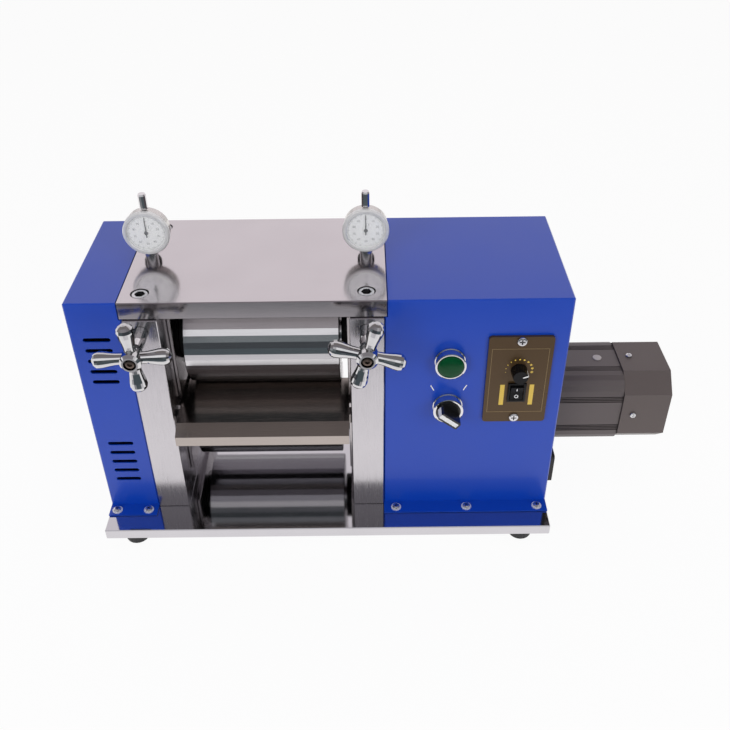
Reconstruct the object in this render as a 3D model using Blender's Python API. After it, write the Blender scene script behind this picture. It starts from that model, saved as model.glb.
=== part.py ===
"""Motor-driven bench rolling press, in metres, +Z up.

The origin is the middle of the object's box, on the floor. Places are written from the left end of
the base (x), the front of the housings (y) and the top of the base (z). spot() turns such a place into
a place in the world.
"""

from math import cos, pi, radians, sin, tau

import bmesh
import bpy
from mathutils import Matrix, Vector

# Gaps between pieces that touch, and how far a cutter runs past what it cuts
FIT = 0.0003
OVERRUN = 0.003

# Rolls, and what their size settles
ROLL_RADIUS = 0.050
ROLL_LENGTH = 0.1555
ROLL_GAP = 0.0010
ROLL_CHAMFER = 0.0008
JOURNAL_RADIUS = 0.0175
JOURNAL_END_GAP = 0.0010
STUB_STEP = 0.0035
STUB_RADIUS = JOURNAL_RADIUS - STUB_STEP
DRIVE_STUB_LENGTH = 0.0230

# Gears between the rolls
GEAR_TEETH = 20
GEAR_WIDTH = 0.014
GEAR_STANDOFF = 0.005
GEAR_STUB_END = 0.004
GEAR_STUB_LENGTH = GEAR_STANDOFF + GEAR_WIDTH + GEAR_STUB_END
GEAR_SIDE_SPACE = 0.028
TOOTH_ABOVE = 0.0036
TOOTH_BELOW = 0.0056
TOOTH_TIP_SHARE = 0.115
TOOTH_PITCH_SHARE = 0.205
TOOTH_ROOT_SHARE = 0.300

# Bearing blocks, bearings and their seals
BLOCK_SPACE = 0.011
BLOCK_HEIGHT = 2 * ROLL_RADIUS + ROLL_GAP - BLOCK_SPACE
BLOCK_BEVEL = 0.0005
BLOCK_WALL = 0.007
BLOCK_SEAT = 0.0005
JOURNAL_CLEARANCE = 0.0030
BLOCK_THROUGH_RADIUS = JOURNAL_RADIUS + JOURNAL_CLEARANCE
BEARING_RADIUS = 0.031
BEARING_WIDTH = 0.016
SEAL_STEP = 0.005
SEAL_RADIUS = BEARING_RADIUS - SEAL_STEP
SEAL_REACH = 0.0064
SEAL_CHAMFER = 0.0010
SEAL_CLEARANCE = 0.00155
KEEPER_THICK = 0.0030
KEEPER_REACH = 0.0010
SPRING_RADIUS = 0.0068
SPRING_WIRE_RADIUS = 0.0011
SPRING_TURNS = 3
SPRING_POCKET_DEPTH = 0.0040
SPRING_POCKET_RADIUS = 0.0090
SPRING_END_GAP = 0.0010

# Gap adjustment: wedge, screw, sleeve and cross handle
WEDGE_HALF_HEIGHT = 0.0128
WEDGE_LENGTH = 0.048
WEDGE_NOSE = 0.016
WEDGE_TAIL = 0.007
WEDGE_WIDTH = 0.024
WEDGE_SLOPE = -0.1
WEDGE_OFFSET = -0.006
WEDGE_BEVEL = 0.0005
ADJUST_RADIUS = 0.0049
SLEEVE_TIP_WALL = 0.0004
SLEEVE_TIP_RADIUS = ADJUST_RADIUS + FIT + SLEEVE_TIP_WALL
SLEEVE_FLARE = 0.0013
SLEEVE_RADIUS = SLEEVE_TIP_RADIUS + SLEEVE_FLARE
SLEEVE_TAPER = 0.0080
SLEEVE_FRONT = 0.0280
HANDLE_GAP = 0.0020
HANDLE_BACK = SLEEVE_FRONT + HANDLE_GAP
HUB_BACK_LENGTH = 0.0120
HANDLE_PLANE = HANDLE_BACK + HUB_BACK_LENGTH
HUB_FRONT_LENGTH = 0.0110
HANDLE_FRONT = HANDLE_PLANE + HUB_FRONT_LENGTH
HUB_NECK_WALL = 0.0016
HUB_NECK_RADIUS = ADJUST_RADIUS + FIT + HUB_NECK_WALL
HUB_SWELL = 0.0030
HUB_RADIUS = HUB_NECK_RADIUS + HUB_SWELL
HUB_RIM = 0.0024
HANDLE_REACH = 0.0364
ARM_ROOT_RADIUS = 0.0056
ARM_TIP_RADIUS = 0.0081
RECESS_STEP = 0.0015
RECESS_RADIUS = HUB_RADIUS - HUB_RIM - RECESS_STEP
RECESS_DEPTH = 0.0050
LEFT_HANDLE_TILT = radians(-3.0)
RIGHT_HANDLE_TILT = radians(15.5)

# Post on each upper block, under the gauge's spindle
POST_RADIUS = 0.0030
POST_TOP_GAP = 0.0022
SCREW_END_SPACE = 0.004

# Side frames and the window in each for the bearing blocks
WINDOW_WIDTH = 2 * (BEARING_RADIUS + BLOCK_WALL)
WINDOW_FLOOR = 0.0240
KEEPER_WIDTH = 2 * (ROLL_RADIUS + KEEPER_REACH)
FRAME_WALL = 0.044
FRAME_THICK = 0.0325
FRAME_PROUD = 0.002
FRAME_BEVEL = 0.0006
FRAME_SPACING = ROLL_LENGTH + 2 * (FIT + KEEPER_THICK + SEAL_REACH + SEAL_CLEARANCE)
LOWER_ROLL_HEIGHT = WINDOW_FLOOR + BLOCK_SEAT + BLOCK_HEIGHT / 2
UPPER_ROLL_HEIGHT = LOWER_ROLL_HEIGHT + 2 * ROLL_RADIUS + ROLL_GAP
ADJUST_HEIGHT = UPPER_ROLL_HEIGHT + BLOCK_HEIGHT / 2 + WEDGE_HALF_HEIGHT
FRAME_HEIGHT = ADJUST_HEIGHT + WEDGE_HALF_HEIGHT
POST_TOP = FRAME_HEIGHT - POST_TOP_GAP

# Top plate and the screws that hold it down
PLATE_OVERHANG = 0.003
PLATE_WIDTH = FRAME_SPACING + 2 * (FRAME_THICK + PLATE_OVERHANG)
PLATE_DEPTH = WINDOW_WIDTH + 2 * FRAME_WALL
PLATE_THICK = 0.0180
PLATE_BEVEL = 0.0008
FRAME_DEPTH = PLATE_DEPTH + 2 * FRAME_PROUD
PLATE_BOTTOM = FRAME_HEIGHT + FIT
HOUSING_TOP = PLATE_BOTTOM + PLATE_THICK
SCREW_INSET = 0.0170
SCREW_HEAD_RADIUS = 0.0078
SCREW_HEAD_HEIGHT = 0.0100
SCREW_HEAD_CHAMFER = 0.0006
SCREW_SHANK_RADIUS = 0.0050
SCREW_CLEARANCE = 0.0020
SCREW_LENGTH = HOUSING_TOP - ADJUST_HEIGHT - SLEEVE_RADIUS - SCREW_CLEARANCE
SCREW_SOCKET_RADIUS = 0.0051
SCREW_SOCKET_DEPTH = 0.0050
COUNTERBORE_RADIUS = 0.0088
COUNTERBORE_DEPTH = 0.0108

# Sheet metal housings
SHEET = 0.0015
HOUSING_BEVEL = 0.0012
FLANGE_REACH = 0.0160
GEAR_HOUSING_WIDTH = GEAR_SIDE_SPACE + JOURNAL_END_GAP + GEAR_STUB_LENGTH
VENT_HEIGHT = 0.0046
VENT_LEFT = 0.0116
VENT_RIGHT = 0.0142
VENT_LENGTH = GEAR_HOUSING_WIDTH - VENT_LEFT - VENT_RIGHT
VENT_COUNT = 5
VENT_PITCH = 0.0124
VENT_UPPER_DROP = 0.0404
VENT_LOWER_BOTTOM = 0.0400
MOTOR_HOLE_CLEARANCE = 0.0015

# Control panel
DEVICE_RADIUS = 0.0148
DEVICE_REACH = 0.0112
DEVICE_FLANGE = 0.0016
DEVICE_WAIST = 0.0007
DEVICE_EDGE = 0.0008
BARREL_RADIUS = 0.0109
LENS_RADIUS = 0.0127
LENS_REACH = 0.0030
LENS_DOME = 0.0027
LENS_SEAT_DEPTH = 0.0050
KNOB_RADIUS = 0.0121
KNOB_DISC_REACH = 0.0006
LEVER_REACH = 0.0142
LEVER_HALF = 0.0116
LEVER_WIDTH = 0.0086
LEVER_CORNER = 0.0016
SELECTOR_TURN = radians(-52)
DEVICE_MARGIN = 0.0482
DEVICE_SPACE = 0.0254
LAMP_DROP = 0.0684
CONTROLLER_SPACE = 0.0207
CONTROLLER_MARGIN = 0.0145
CONTROLLER_DROP = 0.0399
CONTROLLER_WIDTH = 0.0620
CONTROLLER_TALL = 0.103
CONTROLLER_CORNER = 0.0030
CONTROLLER_PLATE = 0.0030
BOX_SIDE_MARGIN = 0.005
CONTROLLER_BOX_WIDTH = CONTROLLER_WIDTH - 2 * BOX_SIDE_MARGIN
BOX_END_MARGIN = 0.0065
CONTROLLER_BOX_TALL = CONTROLLER_TALL - 2 * BOX_END_MARGIN
SPEED_HEIGHT = 0.0125
SPEED_RADIUS = 0.0080
SPEED_TOP_RADIUS = 0.0072
SPEED_REACH = 0.0126
SPEED_SHAFT_RADIUS = 0.0030
SPEED_SHAFT_LENGTH = 0.0080
SPEED_TURN = radians(72)
SPEED_POINTER = 0.0012
ROCKER_DROP = 0.0135
ROCKER_WIDTH = 0.0122
ROCKER_TALL = 0.0170
ROCKER_FRAME = 0.0020
ROCKER_FRAME_REACH = 0.0012
ROCKER_PIVOT = 0.0020
ROCKER_REACH = 0.0030
ROCKER_TILT = radians(8)
ROCKER_WELL_DEPTH = 0.0090
ROCKER_CLEARANCE = 0.0006

# Where the frames, housings and panel pieces stand along the base
PRESS_CENTRE = GEAR_HOUSING_WIDTH + FRAME_THICK + FRAME_SPACING / 2
GEAR_PLACE = GEAR_HOUSING_WIDTH - JOURNAL_END_GAP - GEAR_STANDOFF - GEAR_WIDTH
LEFT_INNER = PRESS_CENTRE - FRAME_SPACING / 2
RIGHT_INNER = PRESS_CENTRE + FRAME_SPACING / 2
LEFT_OUTER = LEFT_INNER - FRAME_THICK
RIGHT_OUTER = RIGHT_INNER + FRAME_THICK
FRAME_MIDDLES = {"left": LEFT_INNER - FRAME_THICK / 2, "right": RIGHT_INNER + FRAME_THICK / 2}
INWARD = {"left": 1, "right": -1}
DEVICE_X = RIGHT_OUTER + DEVICE_MARGIN + DEVICE_RADIUS
CONTROLLER_X = DEVICE_X + DEVICE_RADIUS + CONTROLLER_SPACE + CONTROLLER_WIDTH / 2
LAMP_HEIGHT = HOUSING_TOP - LAMP_DROP
SELECTOR_HEIGHT = LAMP_HEIGHT - 2 * DEVICE_RADIUS - DEVICE_SPACE
CONTROLLER_HEIGHT = HOUSING_TOP - CONTROLLER_DROP - CONTROLLER_TALL / 2
ROLL_Y = PLATE_DEPTH / 2
PITCH_RADIUS = ROLL_RADIUS + ROLL_GAP / 2
NIP_HEIGHT = LOWER_ROLL_HEIGHT + PITCH_RADIUS
ADJUST_BACK = ROLL_Y - POST_RADIUS - SCREW_END_SPACE

# Base plate and feet
BASE_LENGTH = CONTROLLER_X + CONTROLLER_WIDTH / 2 + CONTROLLER_MARGIN
BASE_THICK = 0.0122
BASE_FRONT_REACH = 0.037
BASE_REAR_REACH = 0.037
BASE_BACK = PLATE_DEPTH + BASE_REAR_REACH
BASE_BEVEL = 0.0008
FOOT_RADIUS = 0.0150
FOOT_TIP_RADIUS = 0.0120
FOOT_HEIGHT = 0.0140
FOOT_RIM = 0.0030
FOOT_INSET_X = 0.028
FOOT_INSET_Y = 0.0185
FLOOR_DROP = BASE_THICK + FIT + FOOT_HEIGHT

# Dial gauges
GAUGE_PLACE = ROLL_Y
GAUGE_HEIGHT = 0.0318
BEZEL_RADIUS = 0.0222
BEZEL_DEPTH = 0.0052
BEZEL_LIP = 0.0036
BEZEL_WALL = 0.0007
BEZEL_EDGE = 0.0008
FACE_SETBACK = 0.0031
FACE_THICK = 0.0010
CASE_BEVEL = 0.0012
SPINDLE_RADIUS = 0.0020
STEM_WALL = 0.0020
STEM_RADIUS = SPINDLE_RADIUS + STEM_WALL
HOLDER_WALL = 0.0020
HOLDER_RADIUS = STEM_RADIUS + HOLDER_WALL
DIAL_FRONT = GAUGE_PLACE - STEM_RADIUS - FIT - BEZEL_DEPTH
CASE_BACK_DEPTH = 0.0030
DIAL_BACK = GAUGE_PLACE + STEM_RADIUS + CASE_BACK_DEPTH
CAP_RADIUS = 0.0042
CAP_HEIGHT = 0.0151
CAP_CLEARANCE = 0.0016
NEEDLE_MARGIN = 0.0027
NEEDLE_LENGTH = BEZEL_RADIUS - BEZEL_LIP - NEEDLE_MARGIN
NEEDLE_TAIL = 0.0048
NEEDLE_WIDTH = 0.0011
NEEDLE_THICK = 0.0006
NEEDLE_HUB_RADIUS = 0.0019
ARBOR_RADIUS = 0.0008
ARBOR_LENGTH = 0.0030

# Feed tray and the bar that carries it
TRAY_SIDE_GAP = 0.0025
TRAY_WIDTH = FRAME_SPACING - 2 * TRAY_SIDE_GAP
TRAY_THICK = 0.002
TRAY_LEVEL = 0.0010
TRAY_NIP_GAP = 0.016
TRAY_BEND = 0.0055
TRAY_LIP_REACH = 0.0200
TRAY_LIP_TOP = 0.0071
TRAY_LIP_BOTTOM = 0.0180
TRAY_BAR_SIZE = 0.012
TRAY_BAR_PLACE = 0.008

# Shaft coupling, gearbox, motor and fan
COUPLING_WALL = 0.010
COUPLING_RADIUS = STUB_RADIUS + COUPLING_WALL
COUPLING_START = 0.0050
COUPLING_LENGTH = 0.036
OUTPUT_RADIUS = 0.0075
OUTPUT_REACH = 0.018
BRACKET_THICK = 0.005
BRACKET_GAP = 0.004
BRACKET_MARGIN = 0.004
BRACKET_FOOT = 0.055
BOSS_RADIUS = 0.017
MOTOR_OFFSET = 0.0195
GEARBOX_RIM = 0.0075
GEARBOX_SIZE = 2 * (MOTOR_OFFSET + BOSS_RADIUS + GEARBOX_RIM)
GEARBOX_LENGTH = 0.060
GEARBOX_BEVEL = 0.003
CONTROLLER_BACK_SPACE = 0.006
CONTROLLER_BOX_DEPTH = ROLL_Y - GEARBOX_SIZE / 2 - CONTROLLER_BACK_SPACE
BARREL_BACK_SPACE = 0.008
BARREL_LENGTH = ROLL_Y - GEARBOX_SIZE / 2 - BARREL_BACK_SPACE
MOTOR_SIZE = 0.0850
MOTOR_CORNER = 0.019
MOTOR_GROOVED = 0.0085
MOTOR_FLAT = MOTOR_SIZE - 2 * (MOTOR_CORNER + MOTOR_GROOVED)
MOTOR_RIB_DEPTH = 0.0022
MOTOR_RIB_COUNT = 4
MOTOR_REACH = 0.077
MOTOR_END = BASE_LENGTH + MOTOR_REACH
MOTOR_HEIGHT = LOWER_ROLL_HEIGHT + MOTOR_OFFSET
BRACKET_X = RIGHT_OUTER + COUPLING_START + COUPLING_LENGTH + BRACKET_GAP
GEARBOX_X = BRACKET_X + BRACKET_THICK + FIT
MOTOR_X = GEARBOX_X + GEARBOX_LENGTH + FIT
COVER_OVERLAP = 0.002
COVER_SIZE = MOTOR_SIZE + 2 * COVER_OVERLAP
COVER_CHAMFER = 0.0185
COVER_LENGTH = 0.0495
COVER_WALL = 0.0022
COVER_SLOT_COUNT = 5
COVER_SLOT_LENGTH = 0.050
COVER_SLOT_HEIGHT = 0.0050
COVER_SLOT_PITCH = 0.0110
TOTAL_LENGTH = MOTOR_END + FIT + COVER_LENGTH
FAN_TIP_SPACE = 0.0063
FAN_RADIUS = COVER_SIZE / 2 - COVER_WALL - FAN_TIP_SPACE
FAN_DISC_THICK = 0.002
FAN_BLADES = 8
FAN_BLADE_THICK = 0.0018
FAN_BLADE_WIDTH = 0.014
FAN_HUB_RADIUS = 0.011
FAN_SHAFT_RADIUS = 0.005
FAN_SHAFT_LENGTH = 0.020
FAN_SEAT_DEPTH = 0.010

# Power inlet on the right side
INLET_CLEARANCE = 0.0015
INLET_WIDTH = 0.030
INLET_PLACE = ROLL_Y - MOTOR_SIZE / 2 - INLET_CLEARANCE - INLET_WIDTH
INLET_BOTTOM = 0.0210
INLET_TALL = 0.036
INLET_REACH = 0.0060
INLET_CORNER = 0.0030
INLET_BACK = 0.014
INLET_SIDE_LIP = 0.002
INLET_BODY_WIDTH = INLET_WIDTH - 2 * INLET_SIDE_LIP
INLET_END_LIP = 0.003
INLET_BODY_TALL = INLET_TALL - 2 * INLET_END_LIP
SOCKET_SIDE_WALL = 0.00475
SOCKET_WIDTH = INLET_BODY_WIDTH - 2 * SOCKET_SIDE_WALL
SOCKET_END_WALL = 0.003
SOCKET_TALL = INLET_BODY_TALL - 2 * SOCKET_END_WALL
SOCKET_DEPTH = 0.014

# Sides of round shapes
FINE = 48
ROUND = 32
SMALL = 20
ARM_SIDES = 24


def spot(x, y, z):
    """The world place of a place on the press."""
    return Vector((x - TOTAL_LENGTH / 2, y - (BASE_BACK - HANDLE_FRONT) / 2, z + FLOOR_DROP))


def clear_scene():
    for thing in list(bpy.data.objects):
        bpy.data.objects.remove(thing)


def paint(name, colour, roughness, metallic):
    """A new material; node() adds the piece's name to its own."""
    made = bpy.data.materials.new(name)
    made.use_nodes = True
    made.diffuse_color = (*colour, 1)
    shader = made.node_tree.nodes["Principled BSDF"]
    shader.inputs["Base Color"].default_value = (*colour, 1)
    shader.inputs["Roughness"].default_value = roughness
    shader.inputs["Metallic"].default_value = metallic
    return made


def chrome():
    return paint("chrome", (0.83, 0.83, 0.84), 0.06, 1)


def ground_steel():
    return paint("ground_steel", (0.66, 0.64, 0.66), 0.28, 1)


def dark_steel():
    return paint("dark_steel", (0.24, 0.24, 0.26), 0.45, 1)


def satin_aluminium():
    return paint("satin_aluminium", (0.72, 0.72, 0.73), 0.32, 1)


def blue_paint():
    return paint("blue_paint", (0.03, 0.085, 0.55), 0.38, 0)


def motor_paint():
    return paint("motor_paint", (0.115, 0.098, 0.098), 0.5, 0.1)


def black_plastic():
    return paint("black_plastic", (0.012, 0.012, 0.013), 0.4, 0)


def black_rubber():
    return paint("black_rubber", (0.02, 0.02, 0.022), 0.75, 0)


def brown_panel():
    return paint("brown_panel", (0.085, 0.05, 0.028), 0.42, 0)


def green_lens():
    return paint("green_lens", (0.0, 0.11, 0.03), 0.15, 0)


def add_box(mesh, low, high):
    """A box between two corners, added to the mesh."""
    size = [top - bottom for bottom, top in zip(low, high)]
    middle = [(top + bottom) / 2 for bottom, top in zip(low, high)]
    matrix = Matrix.Translation(middle) @ Matrix.Diagonal((*size, 1))
    bmesh.ops.create_cube(mesh, size=1, matrix=matrix)


def box(low, high):
    mesh = bmesh.new()
    add_box(mesh, low, high)
    return mesh


def along(mesh, axis):
    """Turns a mesh that was made along Z to lie along X or Y."""
    if axis == "X":
        bmesh.ops.rotate(mesh, verts=mesh.verts, matrix=Matrix.Rotation(pi / 2, 3, "Y"))
    if axis == "Y":
        bmesh.ops.rotate(mesh, verts=mesh.verts, matrix=Matrix.Rotation(-pi / 2, 3, "X"))
    return mesh


def turned(profile, axis, sides, ring=False):
    """A body turned about an axis from points (radius, place along the axis); a ring keeps its bore open."""
    mesh = bmesh.new()
    points = [mesh.verts.new((radius, 0, place)) for radius, place in profile]
    pairs = list(zip(points, points[1:]))
    if ring:
        pairs.append((points[-1], points[0]))
    lines = [mesh.edges.new(pair) for pair in pairs]
    bmesh.ops.spin(
        mesh, geom=points + lines, cent=(0, 0, 0), axis=(0, 0, 1), angle=tau, steps=sides, use_merge=True
    )
    bmesh.ops.remove_doubles(mesh, verts=mesh.verts, dist=FIT / 100)
    bmesh.ops.holes_fill(mesh, edges=[edge for edge in mesh.edges if edge.is_boundary], sides=0)
    bmesh.ops.recalc_face_normals(mesh, faces=mesh.faces)
    return along(mesh, axis)


def add_prism(mesh, outline, start, end, axis):
    """A straight body with this outline between two places along an axis, added to the mesh.

    The outline's two numbers are (y, z) for X, (x, z) for Y and (x, y) for Z.
    """
    orders = {"X": lambda a, b, c: (c, a, b), "Y": lambda a, b, c: (a, c, b), "Z": lambda a, b, c: (a, b, c)}
    order = orders[axis]
    low = [mesh.verts.new(order(a, b, start)) for a, b in outline]
    high = [mesh.verts.new(order(a, b, end)) for a, b in outline]
    count = len(outline)
    faces = [mesh.faces.new(low), mesh.faces.new(high)]
    for i in range(count):
        j = (i + 1) % count
        faces.append(mesh.faces.new((low[i], low[j], high[j], high[i])))
    bmesh.ops.recalc_face_normals(mesh, faces=faces)


def prism(outline, start, end, axis):
    mesh = bmesh.new()
    add_prism(mesh, outline, start, end, axis)
    return mesh


def circle_outline(radius, sides, x=0, y=0):
    return [(x + radius * cos(tau * i / sides), y + radius * sin(tau * i / sides)) for i in range(sides)]


def rounded_outline(width, height, corner, steps=4):
    """A rectangle about the origin with round corners."""
    points = []
    for quarter, (sx, sy) in enumerate(((1, 1), (-1, 1), (-1, -1), (1, -1))):
        for step in range(steps + 1):
            angle = (quarter + step / steps) * pi / 2
            x = sx * (width / 2 - corner) + corner * cos(angle)
            y = sy * (height / 2 - corner) + corner * sin(angle)
            points.append((x, y))
    return points


def shifted(outline, across, up):
    return [(a + across, b + up) for a, b in outline]


def bevel(thing, width, segments=1):
    made = thing.modifiers.new("edges", "BEVEL")
    made.width = width
    made.segments = segments
    made.limit_method = "ANGLE"
    made.angle_limit = radians(50)
    return made


def smooth(data):
    data.shade_smooth()
    data.set_sharp_from_angle(angle=radians(35))


def node(name, mesh, place, material, edge=0):
    """A named object from the mesh, at its place in the world."""
    data = bpy.data.meshes.new(name)
    mesh.to_mesh(data)
    mesh.free()
    material.name = f"{material.name}_{name}"
    data.materials.append(material)
    smooth(data)
    thing = bpy.data.objects.new(name, data)
    thing.location = place
    bpy.context.scene.collection.objects.link(thing)
    if edge:
        bevel(thing, edge)
    return thing


def combine(thing, mesh, operation):
    """Cuts the mesh out of the object, or joins it on; the mesh is in the object's own frame."""
    data = bpy.data.meshes.new(f"{thing.name}_{operation.lower()}")
    mesh.to_mesh(data)
    mesh.free()
    smooth(data)
    helper = bpy.data.objects.new(data.name, data)
    helper.parent = thing
    helper.hide_render = True
    helper.display_type = "WIRE"
    bpy.context.scene.collection.objects.link(helper)
    made = thing.modifiers.new(operation.lower(), "BOOLEAN")
    made.operation = operation
    made.object = helper
    made.solver = "EXACT"


def cut(thing, mesh):
    combine(thing, mesh, "DIFFERENCE")


def join(thing, mesh):
    combine(thing, mesh, "UNION")


def rod(radius, start, end, axis, sides=SMALL):
    return turned([(radius, start), (radius, end)], axis, sides)


def moved(mesh, x, y, z):
    bmesh.ops.translate(mesh, verts=mesh.verts, vec=(x, y, z))
    return mesh


def make_base():
    back = BASE_BACK
    node(
        "base_plate",
        box((0, -BASE_FRONT_REACH, -BASE_THICK), (BASE_LENGTH, back, 0)),
        spot(0, 0, 0),
        ground_steel(),
        BASE_BEVEL,
    )
    profile = [
        (FOOT_TIP_RADIUS, -FOOT_HEIGHT),
        (FOOT_RADIUS, -FOOT_RIM),
        (FOOT_RADIUS, 0),
    ]
    columns = (("left", FOOT_INSET_X), ("right", BASE_LENGTH - FOOT_INSET_X))
    rows = (("front", FOOT_INSET_Y - BASE_FRONT_REACH), ("rear", back - FOOT_INSET_Y))
    for side, x in columns:
        for end, y in rows:
            place = spot(x, y, -BASE_THICK - FIT)
            node(f"foot_{end}_{side}", turned(profile, "Z", SMALL), place, black_rubber())


def make_side_frame(side):
    """One thick plate with a window for the bearing blocks, open at the top."""
    inward = INWARD[side]
    half = FRAME_THICK / 2
    front = -FRAME_PROUD - ROLL_Y
    outline = [
        (front, FIT),
        (front + FRAME_DEPTH, FIT),
        (front + FRAME_DEPTH, FRAME_HEIGHT),
        (WINDOW_WIDTH / 2, FRAME_HEIGHT),
        (WINDOW_WIDTH / 2, WINDOW_FLOOR),
        (-WINDOW_WIDTH / 2, WINDOW_FLOOR),
        (-WINDOW_WIDTH / 2, FRAME_HEIGHT),
        (front, FRAME_HEIGHT),
    ]
    place = spot(FRAME_MIDDLES[side], ROLL_Y, 0)
    frame = node(f"side_frame_{side}", prism(outline, -half, half, "X"), place, ground_steel(), FRAME_BEVEL)
    bore = rod(SLEEVE_RADIUS + FIT, front - OVERRUN, -WINDOW_WIDTH / 2 + OVERRUN, "Y")
    cut(frame, moved(bore, 0, 0, ADJUST_HEIGHT))
    taps = bmesh.new()
    for y in (SCREW_INSET - ROLL_Y, ROLL_Y - SCREW_INSET):
        hole = circle_outline(SCREW_SHANK_RADIUS + FIT, SMALL, 0, y)
        add_prism(taps, hole, FRAME_HEIGHT - SCREW_LENGTH, FRAME_HEIGHT + OVERRUN, "Z")
    cut(frame, taps)


def make_top_plate():
    left = PRESS_CENTRE - PLATE_WIDTH / 2
    low = (left - PRESS_CENTRE, 0, PLATE_BOTTOM)
    high = (PLATE_WIDTH / 2, PLATE_DEPTH, HOUSING_TOP)
    plate = node("top_plate", box(low, high), spot(PRESS_CENTRE, 0, 0), ground_steel(), PLATE_BEVEL)
    sinks = bmesh.new()
    shanks = bmesh.new()
    stems = bmesh.new()
    for x in FRAME_MIDDLES.values():
        across = x - PRESS_CENTRE
        for y in (SCREW_INSET, PLATE_DEPTH - SCREW_INSET):
            sink = circle_outline(COUNTERBORE_RADIUS, SMALL, across, y)
            add_prism(sinks, sink, HOUSING_TOP - COUNTERBORE_DEPTH, HOUSING_TOP + OVERRUN, "Z")
            shank = circle_outline(SCREW_SHANK_RADIUS + FIT, SMALL, across, y)
            add_prism(shanks, shank, PLATE_BOTTOM - OVERRUN, HOUSING_TOP, "Z")
        stem = circle_outline(HOLDER_RADIUS + FIT, SMALL, across, GAUGE_PLACE)
        add_prism(stems, stem, PLATE_BOTTOM - OVERRUN, HOUSING_TOP + OVERRUN, "Z")
    for cutter in (sinks, shanks, stems):
        cut(plate, cutter)


def make_top_screws():
    seat = COUNTERBORE_DEPTH - FIT
    profile = [
        (SCREW_SHANK_RADIUS, -SCREW_LENGTH),
        (SCREW_SHANK_RADIUS, -seat),
        (SCREW_HEAD_RADIUS, -seat),
        (SCREW_HEAD_RADIUS, SCREW_HEAD_HEIGHT - seat - SCREW_HEAD_CHAMFER),
        (SCREW_HEAD_RADIUS - SCREW_HEAD_CHAMFER, SCREW_HEAD_HEIGHT - seat),
    ]
    rows = (("front", SCREW_INSET), ("rear", PLATE_DEPTH - SCREW_INSET))
    for side, x in FRAME_MIDDLES.items():
        for end, y in rows:
            place = spot(x, y, HOUSING_TOP)
            screw = node(f"top_screw_{end}_{side}", turned(profile, "Z", SMALL), place, dark_steel())
            socket = circle_outline(SCREW_SOCKET_RADIUS, 6)
            top = SCREW_HEAD_HEIGHT - seat
            cut(screw, prism(socket, top - SCREW_SOCKET_DEPTH, top + OVERRUN, "Z"))


def housing(name, low_x, high_x, closed_side):
    """A folded sheet housing: open towards the press and below, with a screw flange in front and behind."""
    shell = node(
        name,
        box((low_x, 0, FIT), (high_x, PLATE_DEPTH, HOUSING_TOP)),
        spot(0, 0, 0),
        blue_paint(),
        HOUSING_BEVEL,
    )
    inner_low = low_x + SHEET if closed_side == "left" else low_x - OVERRUN
    inner_high = high_x - SHEET if closed_side == "right" else high_x + OVERRUN
    cut(shell, box((inner_low, SHEET, -OVERRUN), (inner_high, PLATE_DEPTH - SHEET, HOUSING_TOP - SHEET)))
    for front, back in ((-FLANGE_REACH, SHEET), (PLATE_DEPTH - SHEET, PLATE_DEPTH + FLANGE_REACH)):
        join(shell, box((low_x, front, FIT), (high_x, back, FIT + SHEET)))
    return shell


def make_gear_housing():
    edge = LEFT_OUTER - FIT
    shell = housing("gear_housing", 0, edge, "left")
    notch = PRESS_CENTRE - PLATE_WIDTH / 2 - FIT
    cut(
        shell,
        box((notch, -OVERRUN, FRAME_HEIGHT), (edge + OVERRUN, PLATE_DEPTH + OVERRUN, HOUSING_TOP + OVERRUN)),
    )
    vents = bmesh.new()
    slot = rounded_outline(VENT_LENGTH, VENT_HEIGHT, VENT_HEIGHT / 2, 3)
    for top in (HOUSING_TOP - VENT_UPPER_DROP, VENT_LOWER_BOTTOM + (VENT_COUNT - 1) * VENT_PITCH):
        for i in range(VENT_COUNT):
            place = shifted(slot, VENT_LEFT + VENT_LENGTH / 2, top - i * VENT_PITCH)
            add_prism(vents, place, -OVERRUN, OVERRUN, "Y")
    cut(shell, vents)


def motor_outline(grow=0):
    """The motor's cross-section about its axis: round corners, and grooves beside a flat on each side."""
    half = MOTOR_SIZE / 2 + grow
    groove = MOTOR_RIB_DEPTH if not grow else 0
    straight = MOTOR_SIZE / 2 - MOTOR_CORNER
    pitch = (straight - MOTOR_FLAT / 2) / MOTOR_RIB_COUNT
    side = []
    for i in range(MOTOR_RIB_COUNT, 0, -1):
        outer = MOTOR_FLAT / 2 + i * pitch
        side.append((-outer, half))
        side.append((-outer + pitch / 3, half))
        side.append((-outer + pitch / 2, half - groove))
        side.append((-outer + pitch * 5 / 6, half - groove))
    side.append((-MOTOR_FLAT / 2, half))
    whole = side + [(-x, y) for x, y in reversed(side)]
    corner = MOTOR_CORNER + grow
    turns = [step * pi / 10 for step in range(1, 5)]
    arc = [(straight + corner * sin(turn), straight + corner * cos(turn)) for turn in turns]
    quarter = whole + arc
    points = []
    for turn in range(4):
        angle = -turn * pi / 2
        for x, y in quarter:
            points.append((x * cos(angle) - y * sin(angle), x * sin(angle) + y * cos(angle)))
    return points


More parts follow.
